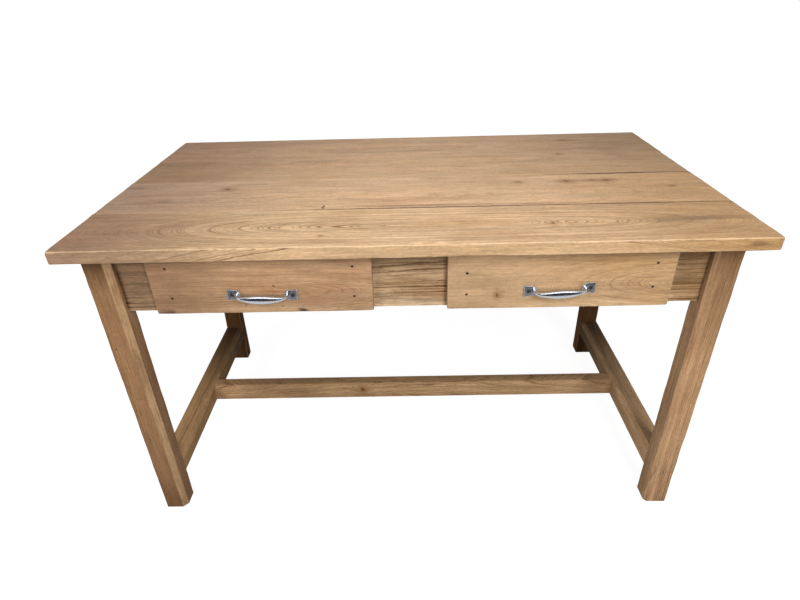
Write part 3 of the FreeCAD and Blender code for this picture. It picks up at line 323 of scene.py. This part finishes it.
def worn_copy(piece, along, arris, most, seed, ends=(0.0, 0.0), seams=None, corner=None, dull=1.0,
              foot=1.0):
    """A copy of a CAD node with uneven edges. arris is the radius that they were made with in millimetres,
    most how many times that they reach, for edges along, across and through, and ends how short it was cut.
    seams gives each side, -1 or 1, that meets another board: where that joint is shut, where it is fully
    open, and how far the wood reaches over when shut. corner is a round corner's radius, the axis it turns
    about and the side of the piece it is on, -1 or 1, or 0 for none; it wears squarer, and dull is how many
    times the wear grows there. foot is how many times more the lower end is worn."""
    source = frame["nodes"][piece]
    mesh = bmesh.new()
    mesh.from_mesh(source.data)
    bmesh.ops.remove_doubles(mesh, verts=mesh.verts, dist=WELD)
    bmesh.ops.dissolve_limit(mesh, angle_limit=math.radians(FLAT_ANGLE), verts=mesh.verts, edges=mesh.edges,
                             use_dissolve_boundaries=False, delimit=set())
    low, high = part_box(piece)
    centre, half = (low + high) / 2, (high - low) / 2
    first = "XYZ".index(along)
    across, through = (first + 1) % 3, (first + 2) % 3
    for axis in (first, across, through):
        normal = Vector([float(i == axis) for i in range(3)])
        width = 2 * half[axis] * MM
        cuts = round(width / (CUT_ALONG if axis == first else CUT_ACROSS)) if width > UNCUT else 0
        for cut in range(1, cuts):
            spot = centre + normal * half[axis] * (2 * cut / cuts - 1)
            bmesh.ops.bisect_plane(mesh, geom=mesh.verts[:] + mesh.edges[:] + mesh.faces[:], dist=SNAP,
                                   plane_co=spot, plane_no=normal)
    radius, turns_about, outer = corner or (0, "XYZ"[through], 0)
    radius /= MM
    spindle = "XYZ".index(turns_about)
    rounds = [first, 3 - first - spindle]
    belongs = arris * NEARLY / MM
    seams = seams or {}

    def facing(off):
        """The side of the piece that this place is on, -1 or 1, across the grain."""
        return 1 if off[across] > 0 else -1

    def opened(off):
        """How far the joint on this side of the board is open at this place along it, from 0 to 1."""
        shut, wide, _ = seams[facing(off)]
        return min(1, max(0, (off[first] * MM - shut) / (wide - shut)))

    def wear(at, times):
        """How many times its first radius an arris reaches, at a place given in millimetres."""
        wave = noise.noise(at / LONG_WAVE + Vector((seed, 0, 0)))
        wave += SHORT_SHARE * noise.noise(at / SHORT_WAVE + Vector((0, seed, 0)))
        return max(LEAST_WEAR, 1 + (times - 1) * (MEAN_WEAR + WAVE_WEAR * wave))

    for vertex in mesh.verts:
        off = vertex.co - centre
        gap = [half[i] - abs(off[i]) for i in range(3)]
        bend = [radius - gap[i] for i in rounds]
        reach = math.hypot(*bend)
        brushed = off[rounds[1]] * outer > 0
        more = 1
        if brushed:
            nook = math.hypot(*[max(0.0, gap[i] - radius) for i in rounds])
            more = 1 + (dull - 1) * max(0.0, 1 - nook / BRUSHED) ** 2
        if brushed and min(bend) > 0 and reach < radius * NEARLY:
            # on a round corner, its arris follows the curve, and the curve itself turns squarer
            rim = max(0.0, radius - reach)
            if max(rim, gap[spindle]) < belongs:
                at = off * MM
                at[spindle] = math.copysign(half[spindle] * MM, off[spindle])
                grow = wear(at, most[0]) * more
                gap[spindle] *= grow
                for i, share in zip(rounds, bend):
                    gap[i] = radius - share * (radius - rim * grow) / reach
            square = reach / sum(share ** SQUARENESS for share in bend) ** (1 / SQUARENESS)
            for i in rounds:
                gap[i] = max(0.0, radius - (radius - gap[i]) * square)
        else:
            for order, edge in enumerate((first, across, through)):
                sides = [i for i in range(3) if i != edge]
                if all(gap[i] < belongs for i in sides):
                    at = [off[i] if i == edge else math.copysign(half[i], off[i]) for i in range(3)]
                    times = most[order] * (foot if order and off[first] < 0 else 1)
                    grow = wear(Vector(at) * MM, times) * more
                    for i in sides:
                        gap[i] = min(gap[i] * grow, half[i])
        if facing(off) in seams and gap[across] < JOINT_EDGE:
            ajar = opened(off)
            kept = SHUT_ARRIS + (1 - SHUT_ARRIS) * ajar
            gap[across] = gap[across] * kept - (1 - ajar) * seams[facing(off)][2] / MM
            gap[through] *= kept
        if abs(off[first]) > half[first] - END_DEPTH:
            gap[first] += ends[off[first] > 0] / MM
        vertex.co = centre + Vector([math.copysign(half[i] - gap[i], off[i]) for i in range(3)])
    slant = mesh.faces.layers.float.new("arris")
    for face in mesh.faces:
        face.normal_update()
        tip = min(1.0, max(0.0, (1 - max(abs(v) for v in face.normal) - ROUND_FROM) / ROUND_OVER))
        off = face.calc_center_median() - centre
        in_seam = facing(off) in seams and abs(off[across]) > half[across] - JOINT_FACE
        face[slant] = -tip * opened(off) if in_seam else tip
        face.smooth = True
    data = bpy.data.meshes.new(piece + "_worn")
    mesh.to_mesh(data)
    mesh.free()
    data.set_sharp_from_angle(angle=math.radians(SHARP_ANGLE))
    copy = bpy.data.objects.new(piece + "_worn", data)
    bpy.context.scene.collection.objects.link(copy)
    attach(copy, source["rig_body"])
    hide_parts(piece)
    return copy


def dress(piece, material):
    """Gives a CAD node, or the piece made in its place, its finish."""
    shown = frame["nodes"][piece] if isinstance(piece, str) else piece
    shown.data.materials.clear()
    shown.data.materials.append(material)


# What a look says: ring is the width of a year in mm; wander, feather and bow say how the rings stray in
# long sweeps, in short waves and as the trunk curved; figure is how dark they are drawn, and faint the
# share of it left where they fade; fibre, speck and tone are the contrast of fibres, of flecks, and of
# streaks and bands; pores and cracks are how dark these are, and crack how rare; rub is how bare the
# arrises are; shade_below_top is how dark painted shade, standing in for the top's shadow, makes the wood
# from the height shade_below_top_from up to the top; smooth and rough are the least and the most
# roughness, and shine is the specular level.
OILED_ELM = {  # closed by oil and years of wiping: a soft low sheen, pale where hands rub the edge
    "ring": 4.6, "wander": 12, "feather": 1.8, "bow": (0, (0, 1.6)), "figure": 0.65, "tone": 0.42,
    "faint": 0.45, "fibre": 0.8, "speck": 0.7, "pale": "#cfa986", "dark": "#9c7150", "pore": "#6b4a30",
    "stain": "#a97b5a", "honey": "#c9a173", "pores": 0.35, "crack": 0.72, "cracks": 0.35, "rub": 0.55,
    "bare": "#ecd2b0", "shade_below_top": 0.0, "shade_below_top_from": 700, "smooth": 0.40, "rough": 0.56, "shine": 0.25}
TOP, EDGE, FRONT = 770, 757, -394  # mm: heights of the top and of its edge's middle, and y of its front
TOP_ARRIS, TOP_CORNER = 2.5, 9  # mm: radii of the arrises and of the four corners
GRIME, UMBER = "#4a3120", "#8a6341"
# A joint is shut up to the first of these places along it, open from the second, and its wood reaches
# over by the third where it is shut.
OPENS_LEFT, OPENS_RIGHT, TIGHT = (-380, -250, 0.75), (150, 380, 0.75), (2000, 3000, 0.15)
END_SHADE_AT, END_SHADE_REACH = (-760, 760), (540, 420, 200)  # painted shade: the top is darkened towards its two ends, where less light reaches it
boards = {  # outer is the side with the top's round corners; the last entry says how strongly painted shade darkens its ends, and in what colour
    "front": {
        "pith": (0, 10.5), "ends": (2.8, 0), "seams": {1: OPENS_LEFT}, "outer": -1,
        "look": {"ring": 2.3, "bow": (80, (0, 2.1)), "wander": 2.5, "feather": 0.6, "figure": 1.5,
                 "faint": 0.7, "pale": "#e8c49b", "dark": "#835a39", "honey": "#d9b482"},
        "knots": (((287, -305, TOP), 3.5), ((-172, -345, TOP), 2)),
        "swells": (((120, -316, TOP), (120, 30, 60), 6), ((-70, -322, TOP), (60, 24, 60), -4)),
        "marks": (((537, -296, TOP), (115, 32, 30), 0.7, "#927552"),
                  ((610, -292, TOP), (110, 16, 30), 0.5, "#7a5c40"),
                  ((-492, -283, TOP), (60, 14, 30), 0.4, "#8f6440"),
                  ((-600, FRONT, EDGE), (420, 10, 20), 0.4, "#a38d78"),
                  ((0, FRONT, EDGE), (300, 10, 20), 0.35, "#b48f69"),
                  ((350, FRONT, EDGE), (420, 10, 20), 0.5, "#cda87d"),
                  ((100, -298, TOP), (150, 26, 30), 0.35, "#c59a63"),
                  ((440, -214, TOP), (260, 12, 20), 0.3, "#8b5f4b"),
                  ((100, -204, TOP), (380, 4, 20), 0.75, GRIME),
                  ((520, -204, TOP), (260, 3.5, 20), 0.7, GRIME),
                  ((-330, -214, TOP), (190, 8, 20), 0.5, "#dfbf9a"),
                  ((680, FRONT, EDGE), (330, 12, 18), 0.35, "#a9824f"),
                  ((647, FRONT, EDGE), (26, 6, 9), 0.5, "#6b4730")),
        "painted_end_shade": ((0.85, "#9b7457"), (0.7, "#bb9161"))},
    "second": {
        "pith": (-30, -70), "ends": (2.6, 0.4), "seams": {-1: OPENS_LEFT, 1: OPENS_RIGHT}, "outer": 0,
        "look": {"ring": 2.8, "bow": (-200, (0, 0.9)), "wander": 9, "pale": "#ddb893"},
        "knots": (((-433, -58, TOP), 5), ((377, -52, TOP), 5), ((472, -51, TOP), 5.5), ((262, -51, TOP), 3.5),
                  ((437, -49, TOP), 3), ((607, -100, TOP), 3)),
        "swells": (),
        "marks": (((-664, -39, TOP), (42, 6, 20), 0.6, "#5d3f28"),
                  ((-577, -30, TOP), (30, 4, 20), 0.35, UMBER),
                  ((-487, -3, TOP), (36, 3, 20), 0.5, "#6d4a30"),
                  ((-561, -134, TOP), (34, 16, 20), 0.45, "#86654a"),
                  ((-467, -121, TOP), (30, 8, 20), 0.25, UMBER),
                  ((-188, -189, TOP), (4.5, 17, 20), 1.0, "#3a2415"),
                  ((-215, -186, TOP), (40, 4, 20), 0.5, "#7a563a"),
                  ((-110, -186, TOP), (50, 4, 20), 0.45, "#7a563a"),
                  ((30, -191, TOP), (240, 8, 20), 0.62, "#5f4129"),
                  ((300, -194, TOP), (190, 6, 20), 0.4, "#6d4c33"),
                  ((420, -52, TOP), (120, 16, 20), 0.35, UMBER),
                  ((69, -9, TOP), (60, 10, 20), 0.4, UMBER),
                  ((520, -0.5, TOP), (230, 5, 20), 0.85, GRIME),
                  ((60, -203, TOP), (420, 4, 20), 0.7, GRIME),
                  ((500, -203, TOP), (260, 4, 20), 0.6, GRIME)),
        "painted_end_shade": ((0.65, "#a1806c"), (0.6, "#b68c59"))},
    "third": {
        "pith": (44, -75), "ends": (3.0, 1.4), "seams": {-1: OPENS_RIGHT, 1: TIGHT}, "outer": 0,
        "look": {"ring": 2.6, "bow": (250, (0, 1.0)), "wander": 9, "pale": "#d3ae8a"},
        "knots": (((414, 178, TOP), 4),),
        "swells": (),
        "marks": (((135, 78, TOP), (34, 4, 20), 0.5, "#7a5538"),
                  ((520, 2, TOP), (230, 4, 20), 0.8, GRIME),
                  ((146, 84, TOP), (70, 12, 20), 0.3, UMBER),
                  ((561, 165, TOP), (60, 22, 20), 0.35, "#8c6a4c")),
        "painted_end_shade": ((0.75, "#9b7550"), (0.6, "#ae895f"))},
    "rear": {
        "pith": (-24, -80), "ends": (2.2, 0), "seams": {-1: TIGHT}, "outer": 1,
        "look": {"ring": 2.8, "bow": (-100, (0, 0.9)), "wander": 9, "pale": "#d6b08c"},
        "knots": (((459, 320, TOP), 4),),
        "swells": (),
        "marks": (((470, 318, TOP), (70, 14, 20), 0.4, UMBER),
                  ((-60, 240, TOP), (300, 20, 20), 0.25, "#8c6a4c")),
        "painted_end_shade": ((0.65, "#ad7f5f"), (0.7, "#a28058"))},
}
for seed, (name, board) in enumerate(boards.items(), 1):
    node = "top_board_" + name
    copy = worn_copy(node, "X", arris=TOP_ARRIS, most=(1.9, 1.7, 1.6), ends=board["ends"],
                     seams=board["seams"], corner=(TOP_CORNER, "Z", board["outer"]), dull=1.15, seed=seed)
    low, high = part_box(node)
    middle = (low.y + high.y) * MM / 2
    painted_end_shade = tuple(((x, middle, TOP), END_SHADE_REACH, *tint) for x, tint in zip(END_SHADE_AT, board["painted_end_shade"]))
    dress(copy, elm(f"elm_oiled_{name}_board", node, "X", board["pith"], {**OILED_ELM, **board["look"]}, seed,
                    knots=board["knots"], swells=board["swells"], marks=painted_end_shade + board["marks"]))
SAWN_ELM = {  # straight off the saw and never oiled: dry, rough and dull
    "ring": 4.2, "wander": 10, "feather": 1.2, "bow": (0, (0, 0.5)), "figure": 0.5, "tone": 0.5,
    "faint": 0.25, "fibre": 0.8, "speck": 0.6, "pale": "#c9a67c", "dark": "#a07a4f", "pore": "#73522f",
    "stain": "#9a744a", "honey": "#c6a06d", "pores": 0.5, "crack": 0.72, "cracks": 0.2, "rub": 0.2,
    "bare": "#d8bb92", "shade_below_top": 0.2, "shade_below_top_from": 640, "smooth": 0.62, "rough": 0.78, "shine": 0.3}
for seed, joint in enumerate(("front", "middle", "rear"), 20):
    tongue = "top_tongue_" + joint
    dress(tongue, elm("elm_sawn_" + tongue, tongue, "X", (60, -20), SAWN_ELM, seed))

# ---------------------------------------------------------------------------------------------
# Four legs of straight-grained elm, square in section with one broad chamfer each, mortised for
# the aprons and stretchers. They are older and duller than the top, and shade is painted on them just under
# it.
# ---------------------------------------------------------------------------------------------
WEATHERED_ELM = {  # dry open grain with dark checks, painted shade drawn up under the top, edges rubbed pale
    "ring": 3.4, "wander": 7, "feather": 0.7, "bow": (0, (0, 0.2)), "figure": 0.8, "tone": 0.45,
    "faint": 0.5, "fibre": 1.0, "speck": 0.6, "pale": "#bb9270", "dark": "#855d3d", "pore": "#4c331f",
    "stain": "#8d6040", "honey": "#b0885c", "pores": 0.6, "crack": 0.67, "cracks": 0.5, "rub": 0.5,
    "bare": "#d0aa84", "shade_below_top": 0.95, "shade_below_top_from": 655, "smooth": 0.55, "rough": 0.72, "shine": 0.2}
REAR_SHADE_PAINTED = {  # painted shade: the rear legs stand in the shadow under the table, so they are coloured dark and dead matt, with hardly any figure left
    "pale": "#5c3e25", "dark": "#422a18", "honey": "#563a24", "stain": "#482e1a", "shine": 0.04,
    "smooth": 0.7}
legs = (  # corner, pith, look and marks
    ("front_left", (70, 90), {"rub": 0.8, "bare": "#d4ae84", "pale": "#9d7656", "stain": "#785036"},
     (((-645, -354, 515), (5, 20, 4), 0.8, "#5c3c24"),
      ((-640, -354, 330), (4, 20, 12), 0.5, "#5c3c24"),
      ((-630, -354, 0), (70, 70, 130), 0.55, "#6f4b2c"))),
    ("front_right", (-85, 80), {"rub": 0.3, "pale": "#e2b68b", "figure": 1.5},
     (((626, -354, 760), (90, 60, 420), 0.7, "#7d5c3e"),)),
    ("rear_left", (60, -90), REAR_SHADE_PAINTED, ()),
    ("rear_right", (-70, -75), REAR_SHADE_PAINTED, ()))
for seed, (corner, pith, look, marks) in enumerate(legs, 5):
    leg = "leg_" + corner
    copy = worn_copy(leg, "Z", arris=1.2, most=(3.2, 3.8, 3.8), foot=1.9, seed=seed)
    dress(copy, elm("elm_weathered_" + leg, leg, "Z", pith, {**WEATHERED_ELM, **look}, seed, marks=marks))

# ---------------------------------------------------------------------------------------------
# Aprons of coarse open elm, tenoned into the legs. The front one is cut through for the drawers,
# and its face has dried out in long dark cracks along the grain.
# ---------------------------------------------------------------------------------------------
APRON_ELM = {  # coarse and cracked: broad dark rings and open splits, and hardly any sheen
    **WEATHERED_ELM, "ring": 6.5, "wander": 10, "feather": 1.6, "figure": 1.5, "tone": 0.75,
    "pale": "#e2c2a1", "dark": "#65462c", "stain": "#8c6444", "honey": "#c29c6b",
    "cracks": 0.95, "crack": 0.6, "shade_below_top": 0.9, "shade_below_top_from": 670}
APRON_FACE = -334  # mm: y of the front apron's face
# One long crack between the drawers runs downhill across the grain, drawn as a row of short ones.
CRACK_HALF, CRACK_STEP, CRACK_START, CRACK_FALL = 60, 24, 733, 0.07
diagonal_crack = tuple(
    ((x, APRON_FACE, CRACK_START - CRACK_FALL * (x + CRACK_HALF)), (30, 20, 2.0), 0.8, "#33210f")
    for x in range(-CRACK_HALF, CRACK_HALF + 1, CRACK_STEP))
aprons = (  # side, axis of the grain, pith and marks
    ("front", "X", (-60, 45), (
        *diagonal_crack,
        # dirt and painted shade: the apron is darkened at its ends, in the recesses between the drawers and
        # the legs
        ((-565, APRON_FACE, 680), (80, 30, 140), 0.85, "#80644d"),
        ((575, APRON_FACE, 690), (70, 30, 160), 0.75, "#7f5d37"),
        ((0, APRON_FACE, 604), (140, 20, 24), 0.75, "#e6c7a0"),
        # painted shade: the apron is darkened just under the top, where the top's shadow falls
        ((0, APRON_FACE, 742), (260, 20, 55), 0.6, "#4a3a20"))),
    ("rear", "X", (60, 50), ()),
    ("left", "Y", (50, 60), ()),
    ("right", "Y", (-60, 50), ()))
for seed, (side, along, pith, marks) in enumerate(aprons, 10):
    apron = "apron_" + side
    copy = worn_copy(apron, along, arris=0.8, most=(2.0, 1.5, 1.5), seed=seed)
    dress(copy, elm("elm_cracked_" + apron, apron, along, pith, APRON_ELM, seed, marks=marks))

# ---------------------------------------------------------------------------------------------
# Stretchers in an H, tenoned low between the legs, with stopped chamfers where feet have rubbed
# them smooth.
# ---------------------------------------------------------------------------------------------
RUBBED_ELM = {  # smoothed by feet: the grain is closed and a little brighter where it is used most
    **WEATHERED_ELM, "ring": 4.0, "wander": 12, "feather": 2.2, "bow": (0, (0, 1.2)), "figure": 0.7,
    "pale": "#b0895e", "dark": "#7b583b", "stain": "#7c5a3c", "rub": 0.6, "shade_below_top": 0.0,
    "smooth": 0.42, "rough": 0.6}
LESS_USED = {"rub": 0.2, "shine": 0.06, "smooth": 0.6, "rough": 0.75}  # the side ones stay drier and matt
# painted shade: the side stretchers darken towards their rear ends, in the shadow under the table
UNDER_TABLE_SHADE = "#2b1b0f"
stretchers = (  # side, axis of the grain, pith, look, knots and marks
    ("left", "Y", (40, -50), {**LESS_USED, "pale": "#c89f72"}, (),
     (((-629, 400, 110), (120, 600, 150), 0.92, UNDER_TABLE_SHADE),)),
    ("right", "Y", (-50, -50), {**LESS_USED, "pale": "#edc397"}, (),
     (((629, 400, 110), (120, 620, 150), 0.92, UNDER_TABLE_SHADE),)),
    ("centre", "X", (6, -30), {"pale": "#d2ac82", "figure": 1.2, "rub": 0.05, "shine": 0.1},
     (((-150, -24, 118), 4),),
     # painted shade along the centre stretcher's top, darker towards its rear edge
     (((0, 24, 140), (1200, 70, 34), 0.65, "#71543a"),)))
for seed, (side, along, pith, look, knots, marks) in enumerate(stretchers, 15):
    stretcher = "stretcher_" + side
    copy = worn_copy(stretcher, along, arris=1.2, most=(2.6, 1.5, 1.5), seed=seed)
    dress(copy, elm("elm_rubbed_" + stretcher, stretcher, along, pith, {**RUBBED_ELM, **look}, seed,
                    knots=knots, marks=marks))

# ---------------------------------------------------------------------------------------------
# Runners and kickers of plain sawn elm carry each drawer inside the frame, stub-tenoned between
# the aprons. The buttons under the top are cut from the same wood, and are screwed to it.
# ---------------------------------------------------------------------------------------------
strips = [f"{rail}_{hand}_{side}" for hand in ("left", "right") for side in ("outer", "inner")
          for rail in ("runner", "kicker")]
for seed, strip in enumerate(strips, 30):
    dress(strip, elm("elm_sawn_" + strip, strip, "Y", (50, 40), SAWN_ELM, seed))
dress("top_buttons", elm("elm_sawn_buttons", "top_buttons", "X", (200, 90), SAWN_ELM, 38))

# ---------------------------------------------------------------------------------------------
# Two drawers of thin elm. Each front is planed smooth and paler than the frame, and is nailed
# to the sides; the sides, back and bottom are left bare.
# ---------------------------------------------------------------------------------------------
PLANED_ELM = {  # planed clean and waxed: flat, pale and even, with a feathered figure that comes and goes
    "ring": 7.5, "wander": 9, "feather": 1.8, "bow": (0, (-3, 0)), "figure": 0.95, "tone": 0.5,
    "faint": 0.6, "fibre": 0.7, "speck": 0.5, "pale": "#cba27c", "dark": "#9c7049", "pore": "#6b4a2e",
    "stain": "#a87953", "honey": "#c49a6a", "pores": 0.3, "crack": 0.72, "cracks": 0.4, "rub": 0.4,
    "bare": "#dfc09a", "shade_below_top": 0.45, "shade_below_top_from": 700, "smooth": 0.44, "rough": 0.58, "shine": 0.3}
DRAWER_FACE = -350.5  # mm: y of the drawers' faces
OLD_HOLE = ((2.4, 9, 2.4), 0.95, "#2a1a10")  # reach, strength and colour of a hole that a nail has left
drawers = {  # each front's pith, look, knots and marks, as for the boards
    "left": {
        "pith": (-2, -22),
        "look": {"bow": (-170, (-2, 0)), "ring": 3.4, "wander": 4, "pale": "#c8a585", "stain": "#a57451"},
        "knots": (),
        "marks": (((-340, DRAWER_FACE, 620), *OLD_HOLE),
                  ((-266, DRAWER_FACE, 616), *OLD_HOLE),
                  ((-280, DRAWER_FACE, 665), *OLD_HOLE),
                  ((-275, DRAWER_FACE, 652), (60, 20, 6), 0.4, "#a5653a"),
                  ((-365, DRAWER_FACE, 658), (40, 20, 4), 0.35, "#a5653a"),
                  ((-560, DRAWER_FACE, 670), (260, 60, 300), 0.7, "#8f6c52"),
                  ((-250, DRAWER_FACE, 602), (240, 30, 20), 0.35, "#d9b68f"))},
    "right": {
        "pith": (-12.5, -15),
        "look": {"bow": (555, (-2, 0)), "ring": 2.1, "wander": 3, "feather": 0.7, "figure": 1.2,
                 "pale": "#c9a680", "dark": "#94683f", "stain": "#b38458", "honey": "#cfa773"},
        "knots": (((179, DRAWER_FACE, 633), 2.4),),
        "marks": (((150, DRAWER_FACE, 634), (30, 20, 1.8), 0.7, HEART),
                  ((430, DRAWER_FACE, 700), (110, 30, 30), 0.25, "#b08a4e"),
                  ((300, DRAWER_FACE, 602), (270, 30, 24), 0.5, "#e8c69c"),
                  ((150, DRAWER_FACE, 660), (290, 30, 160), 0.8, "#c9a680"))},
}
FRONT_CORNER = 6.5  # mm: radius of a front's lower corners
for seed, (hand, drawer) in enumerate(drawers.items(), 40):
    front = f"drawer_{hand}_front"
    copy = worn_copy(front, "X", arris=2, most=(1.6, 2.0, 1.6), corner=(FRONT_CORNER, "Y", -1), dull=1.4,
                     seed=seed)
    dress(copy, elm("elm_planed_" + front, front, "X", drawer["pith"], {**PLANED_ELM, **drawer["look"]}, seed,
                    knots=drawer["knots"], marks=drawer["marks"]))
    panels = (("side_outer", "Y"), ("side_inner", "Y"), ("back", "X"), ("bottom", "X"))
    for panel_seed, (part, along) in enumerate(panels, 5 * seed):
        panel = f"drawer_{hand}_{part}"
        dress(panel, elm("elm_sawn_" + panel, panel, along, (30, 60), SAWN_ELM, panel_seed))

# ---------------------------------------------------------------------------------------------
# A bow pull on each drawer, cast and then chromed, held through its two plates by slotted
# screws. Iron nails hold the drawer fronts, sunk a little and rusted dark.
# ---------------------------------------------------------------------------------------------
USUAL_NOISE = (0.3, 0.7)  # nearly all of a noise lies between these


def metal(name, colour, metallic, roughness, spread, grain, depth):
    """A metal with an uneven surface. Its roughness varies by up to spread, and its unevenness is grain
    millimetres wide and depth high."""
    material, tree = empty_material(name)
    place = add(tree, "TexCoord").outputs["Object"]
    lumps = add(tree, "TexNoise", {"Vector": place, "Scale": MM / grain, "Detail": 2.0})
    gloss = add(tree, "MapRange", (lumps, *USUAL_NOISE, roughness, roughness + spread))
    relief = add(tree, "Bump", {"Strength": 1.0, "Distance": depth / MM, "Height": lumps})
    shader = add(tree, "BsdfPrincipled", {"Base Color": linear(colour), "Metallic": metallic,
                                          "Roughness": gloss, "Normal": relief})
    add(tree, "OutputMaterial", {"Surface": shader})
    return material


# bright plating over a casting that was never quite flat, so its highlights run soft and uneven
CHROME = metal("chrome_on_cast_zinc", "#d9dce1", metallic=1.0, roughness=0.14, spread=0.12, grain=5.0,
               depth=0.02)
# bare steel dulled by air and by the screwdriver: grey, with broad soft highlights
STEEL = metal("steel_dull_screw", "#6b655e", metallic=1.0, roughness=0.35, spread=0.2, grain=1.5, depth=0.03)
# iron gone to brown rust: near black, rough, and with only a trace of metal left in it
RUST = metal("iron_rusted_nail", "#3b2a20", metallic=0.3, roughness=0.7, spread=0.2, grain=1.0, depth=0.05)
for hand in ("left", "right"):
    dress(f"drawer_{hand}_handle", CHROME)
    dress(f"drawer_{hand}_handle_screws", STEEL)
    dress(f"drawer_{hand}_nails", RUST)
dress("button_screws", STEEL)

# ---------------------------------------------------------------------------------------------
# The studio: a plain pale floor under a white sky. Soft lamps in front, above, behind and beside
# the table light the wood, and one long strip lamp and a dark card show only in the metal.
# ---------------------------------------------------------------------------------------------
MIRRORED = 0.62  # how bright the floor and the sky are in the metal, as a share of how they look


def flat_sheet(name, width, height, place, material):
    """A stage sheet of the studio: lying at floor level, or standing where its place lifts and turns it."""
    sheet = bmesh.new()
    bmesh.ops.create_grid(sheet, x_segments=1, y_segments=1, size=0.5, matrix=place @ Matrix.Diagonal(
        (width, height, 1, 1)))
    data = bpy.data.meshes.new(name)
    sheet.to_mesh(data)
    sheet.free()
    data.materials.append(material)
    made = bpy.data.objects.new(name, data)
    bpy.context.scene.collection.objects.link(made)
    made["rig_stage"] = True
    return made


def seen_directly(tree):
    """1 for rays that see a thing itself, less for its mirror image, 0 for rays that carry its light."""
    ray = add(tree, "LightPath")
    mirrored = add(tree, "Math", (ray.outputs["Is Glossy Ray"], MIRRORED), operation="MULTIPLY")
    seen = add(tree, "Math", (ray.outputs["Is Camera Ray"], mirrored), operation="MAXIMUM")
    return add(tree, "Math", (seen, ray.outputs["Is Transmission Ray"]), operation="MAXIMUM")


# The floor's paint glows a little less under the table, so its shadow stays, and is white further out.
# Light that bounces from it is dim and warm, and from below it can be looked through.
GLOW_FROM, GLOW_FULL, LEAST_GLOW = 0.8, 2.5, 0.92  # metres from the middle, and the glow up to there
paint, tree = empty_material("floor_matt_paint")
off_middle = add(tree, "VectorMath", (add(tree, "TexCoord").outputs["Object"],), operation="LENGTH")
glow = add(tree, "MapRange", (off_middle.outputs["Value"], GLOW_FROM, GLOW_FULL, LEAST_GLOW, 1.0), **SOFT)
white = add(tree, "AddShader", (add(tree, "Emission", {"Color": (1, 1, 1, 1), "Strength": glow}),
                                add(tree, "BsdfDiffuse", {"Color": linear("#8c8c8c")})))
bounce = add(tree, "BsdfDiffuse", {"Color": linear("#555350")})
above = add(tree, "MixShader", (seen_directly(tree), bounce, white))
below = add(tree, "NewGeometry").outputs["Backfacing"]
clear = add(tree, "BsdfTransparent")
add(tree, "OutputMaterial", {"Surface": add(tree, "MixShader", (below, above, clear))})
flat_sheet("floor", width=60, height=60, place=Matrix(), material=paint)

# The card stands low in front and gives the chrome its dark band; it neither shows nor shades.
paper, tree = empty_material("card_slate_paper")
add(tree, "OutputMaterial", {"Surface": add(tree, "BsdfPrincipled", {"Base Color": linear("#39414d")})})
standing = Euler((math.pi / 2, 0, 0)).to_matrix().to_4x4()
card = flat_sheet("card", width=2.6, height=0.63, place=Matrix.Translation((0, -1.05, 0.51)) @ standing,
                  material=paper)
card.visible_camera = card.visible_diffuse = card.visible_shadow = False

SKY_LIGHT, SKY_SEEN = 0.07, 1.0
sky = bpy.data.worlds.new("studio")
sky.use_nodes = True
bpy.context.scene.world = sky
tree = sky.node_tree
tree.nodes.clear()
add(tree, "OutputWorld", {"Surface": add(tree, "MixShader", (
    seen_directly(tree), add(tree, "Background", {"Color": (1, 1, 1, 1), "Strength": SKY_LIGHT}),
    add(tree, "Background", {"Color": (1, 1, 1, 1), "Strength": SKY_SEEN})))})

# The lamps behind and beside the table stand lower than its top, so that they light the legs and throw
# no glare on the boards. glint is the strip that the metal and the worn front arris mirror.
lamps = (  # name, place, what it points at, width and height, watts, whether it lights and whether it glints
    ("key", (0.85, -2.1, 1.7), (0, -0.3, 0.65), (0.9, 1.7), 45, True, False),
    ("glint", (0.1, -2.1, 1.55), (0, -0.35, 0.65), (3.0, 0.35), 12, False, True),
    ("overhead", (0.05, -0.25, 1.7), (0.05, -0.12, 0.7), (0.9, 0.6), 6.2, True, True),
    ("fill", (-1.7, -1.7, 1.3), (0.2, -0.3, 0.5), (1.0, 1.0), 22.5, True, False),
    ("back", (-0.7, 2.4, 0.45), (0, 0.3, 0.5), (1.6, 0.5), 12, True, False),
    ("left", (-2.4, -0.1, 0.45), (-0.6, 0, 0.45), (1.4, 0.5), 5, True, False),
    ("right", (2.4, -0.1, 0.45), (0.6, 0, 0.45), (1.4, 0.5), 5, True, False))
for name, at, aim, size, power, lights, glints in lamps:
    lamp = bpy.data.lights.new(name, "AREA")
    lamp.shape = "RECTANGLE"
    lamp.size, lamp.size_y = size
    lamp.energy = power
    holder = bpy.data.objects.new(name, lamp)
    holder.location = at
    holder.rotation_euler = (Vector(aim) - Vector(at)).to_track_quat("-Z", "Y").to_euler()
    holder.visible_camera = False
    holder.visible_diffuse = lights
    holder.visible_glossy = glints
    bpy.context.scene.collection.objects.link(holder)

# The camera stands close in front of the table, 1.2 m above the floor, and looks down on it through a
# wide lens, turned and tilted a little as a hand holds it.
EYE, LENS = (-0.0012, -1.3242, 1.2016), 24.66  # metres, and millimetres
yaw, pitch, roll = (math.radians(v) for v in (-1.19, 30.609, -1.661))
forward = Vector((math.sin(yaw) * math.cos(pitch), math.cos(yaw) * math.cos(pitch), -math.sin(pitch)))
level_right = Vector((math.cos(yaw), -math.sin(yaw), 0))
level_up = level_right.cross(forward)
right = math.cos(roll) * level_right + math.sin(roll) * level_up
up = -math.sin(roll) * level_right + math.cos(roll) * level_up
view = bpy.data.cameras.new("camera")
view.lens = LENS
view.clip_start, view.clip_end = 0.05, 100
camera = bpy.data.objects.new("camera", view)
turned = Matrix((right, up, -forward)).transposed().to_4x4()
camera.matrix_world = Matrix.Translation(EYE) @ turned
bpy.context.scene.collection.objects.link(camera)
bpy.context.scene.camera = camera
bpy.context.scene.view_settings.view_transform = "Standard"

low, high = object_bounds()
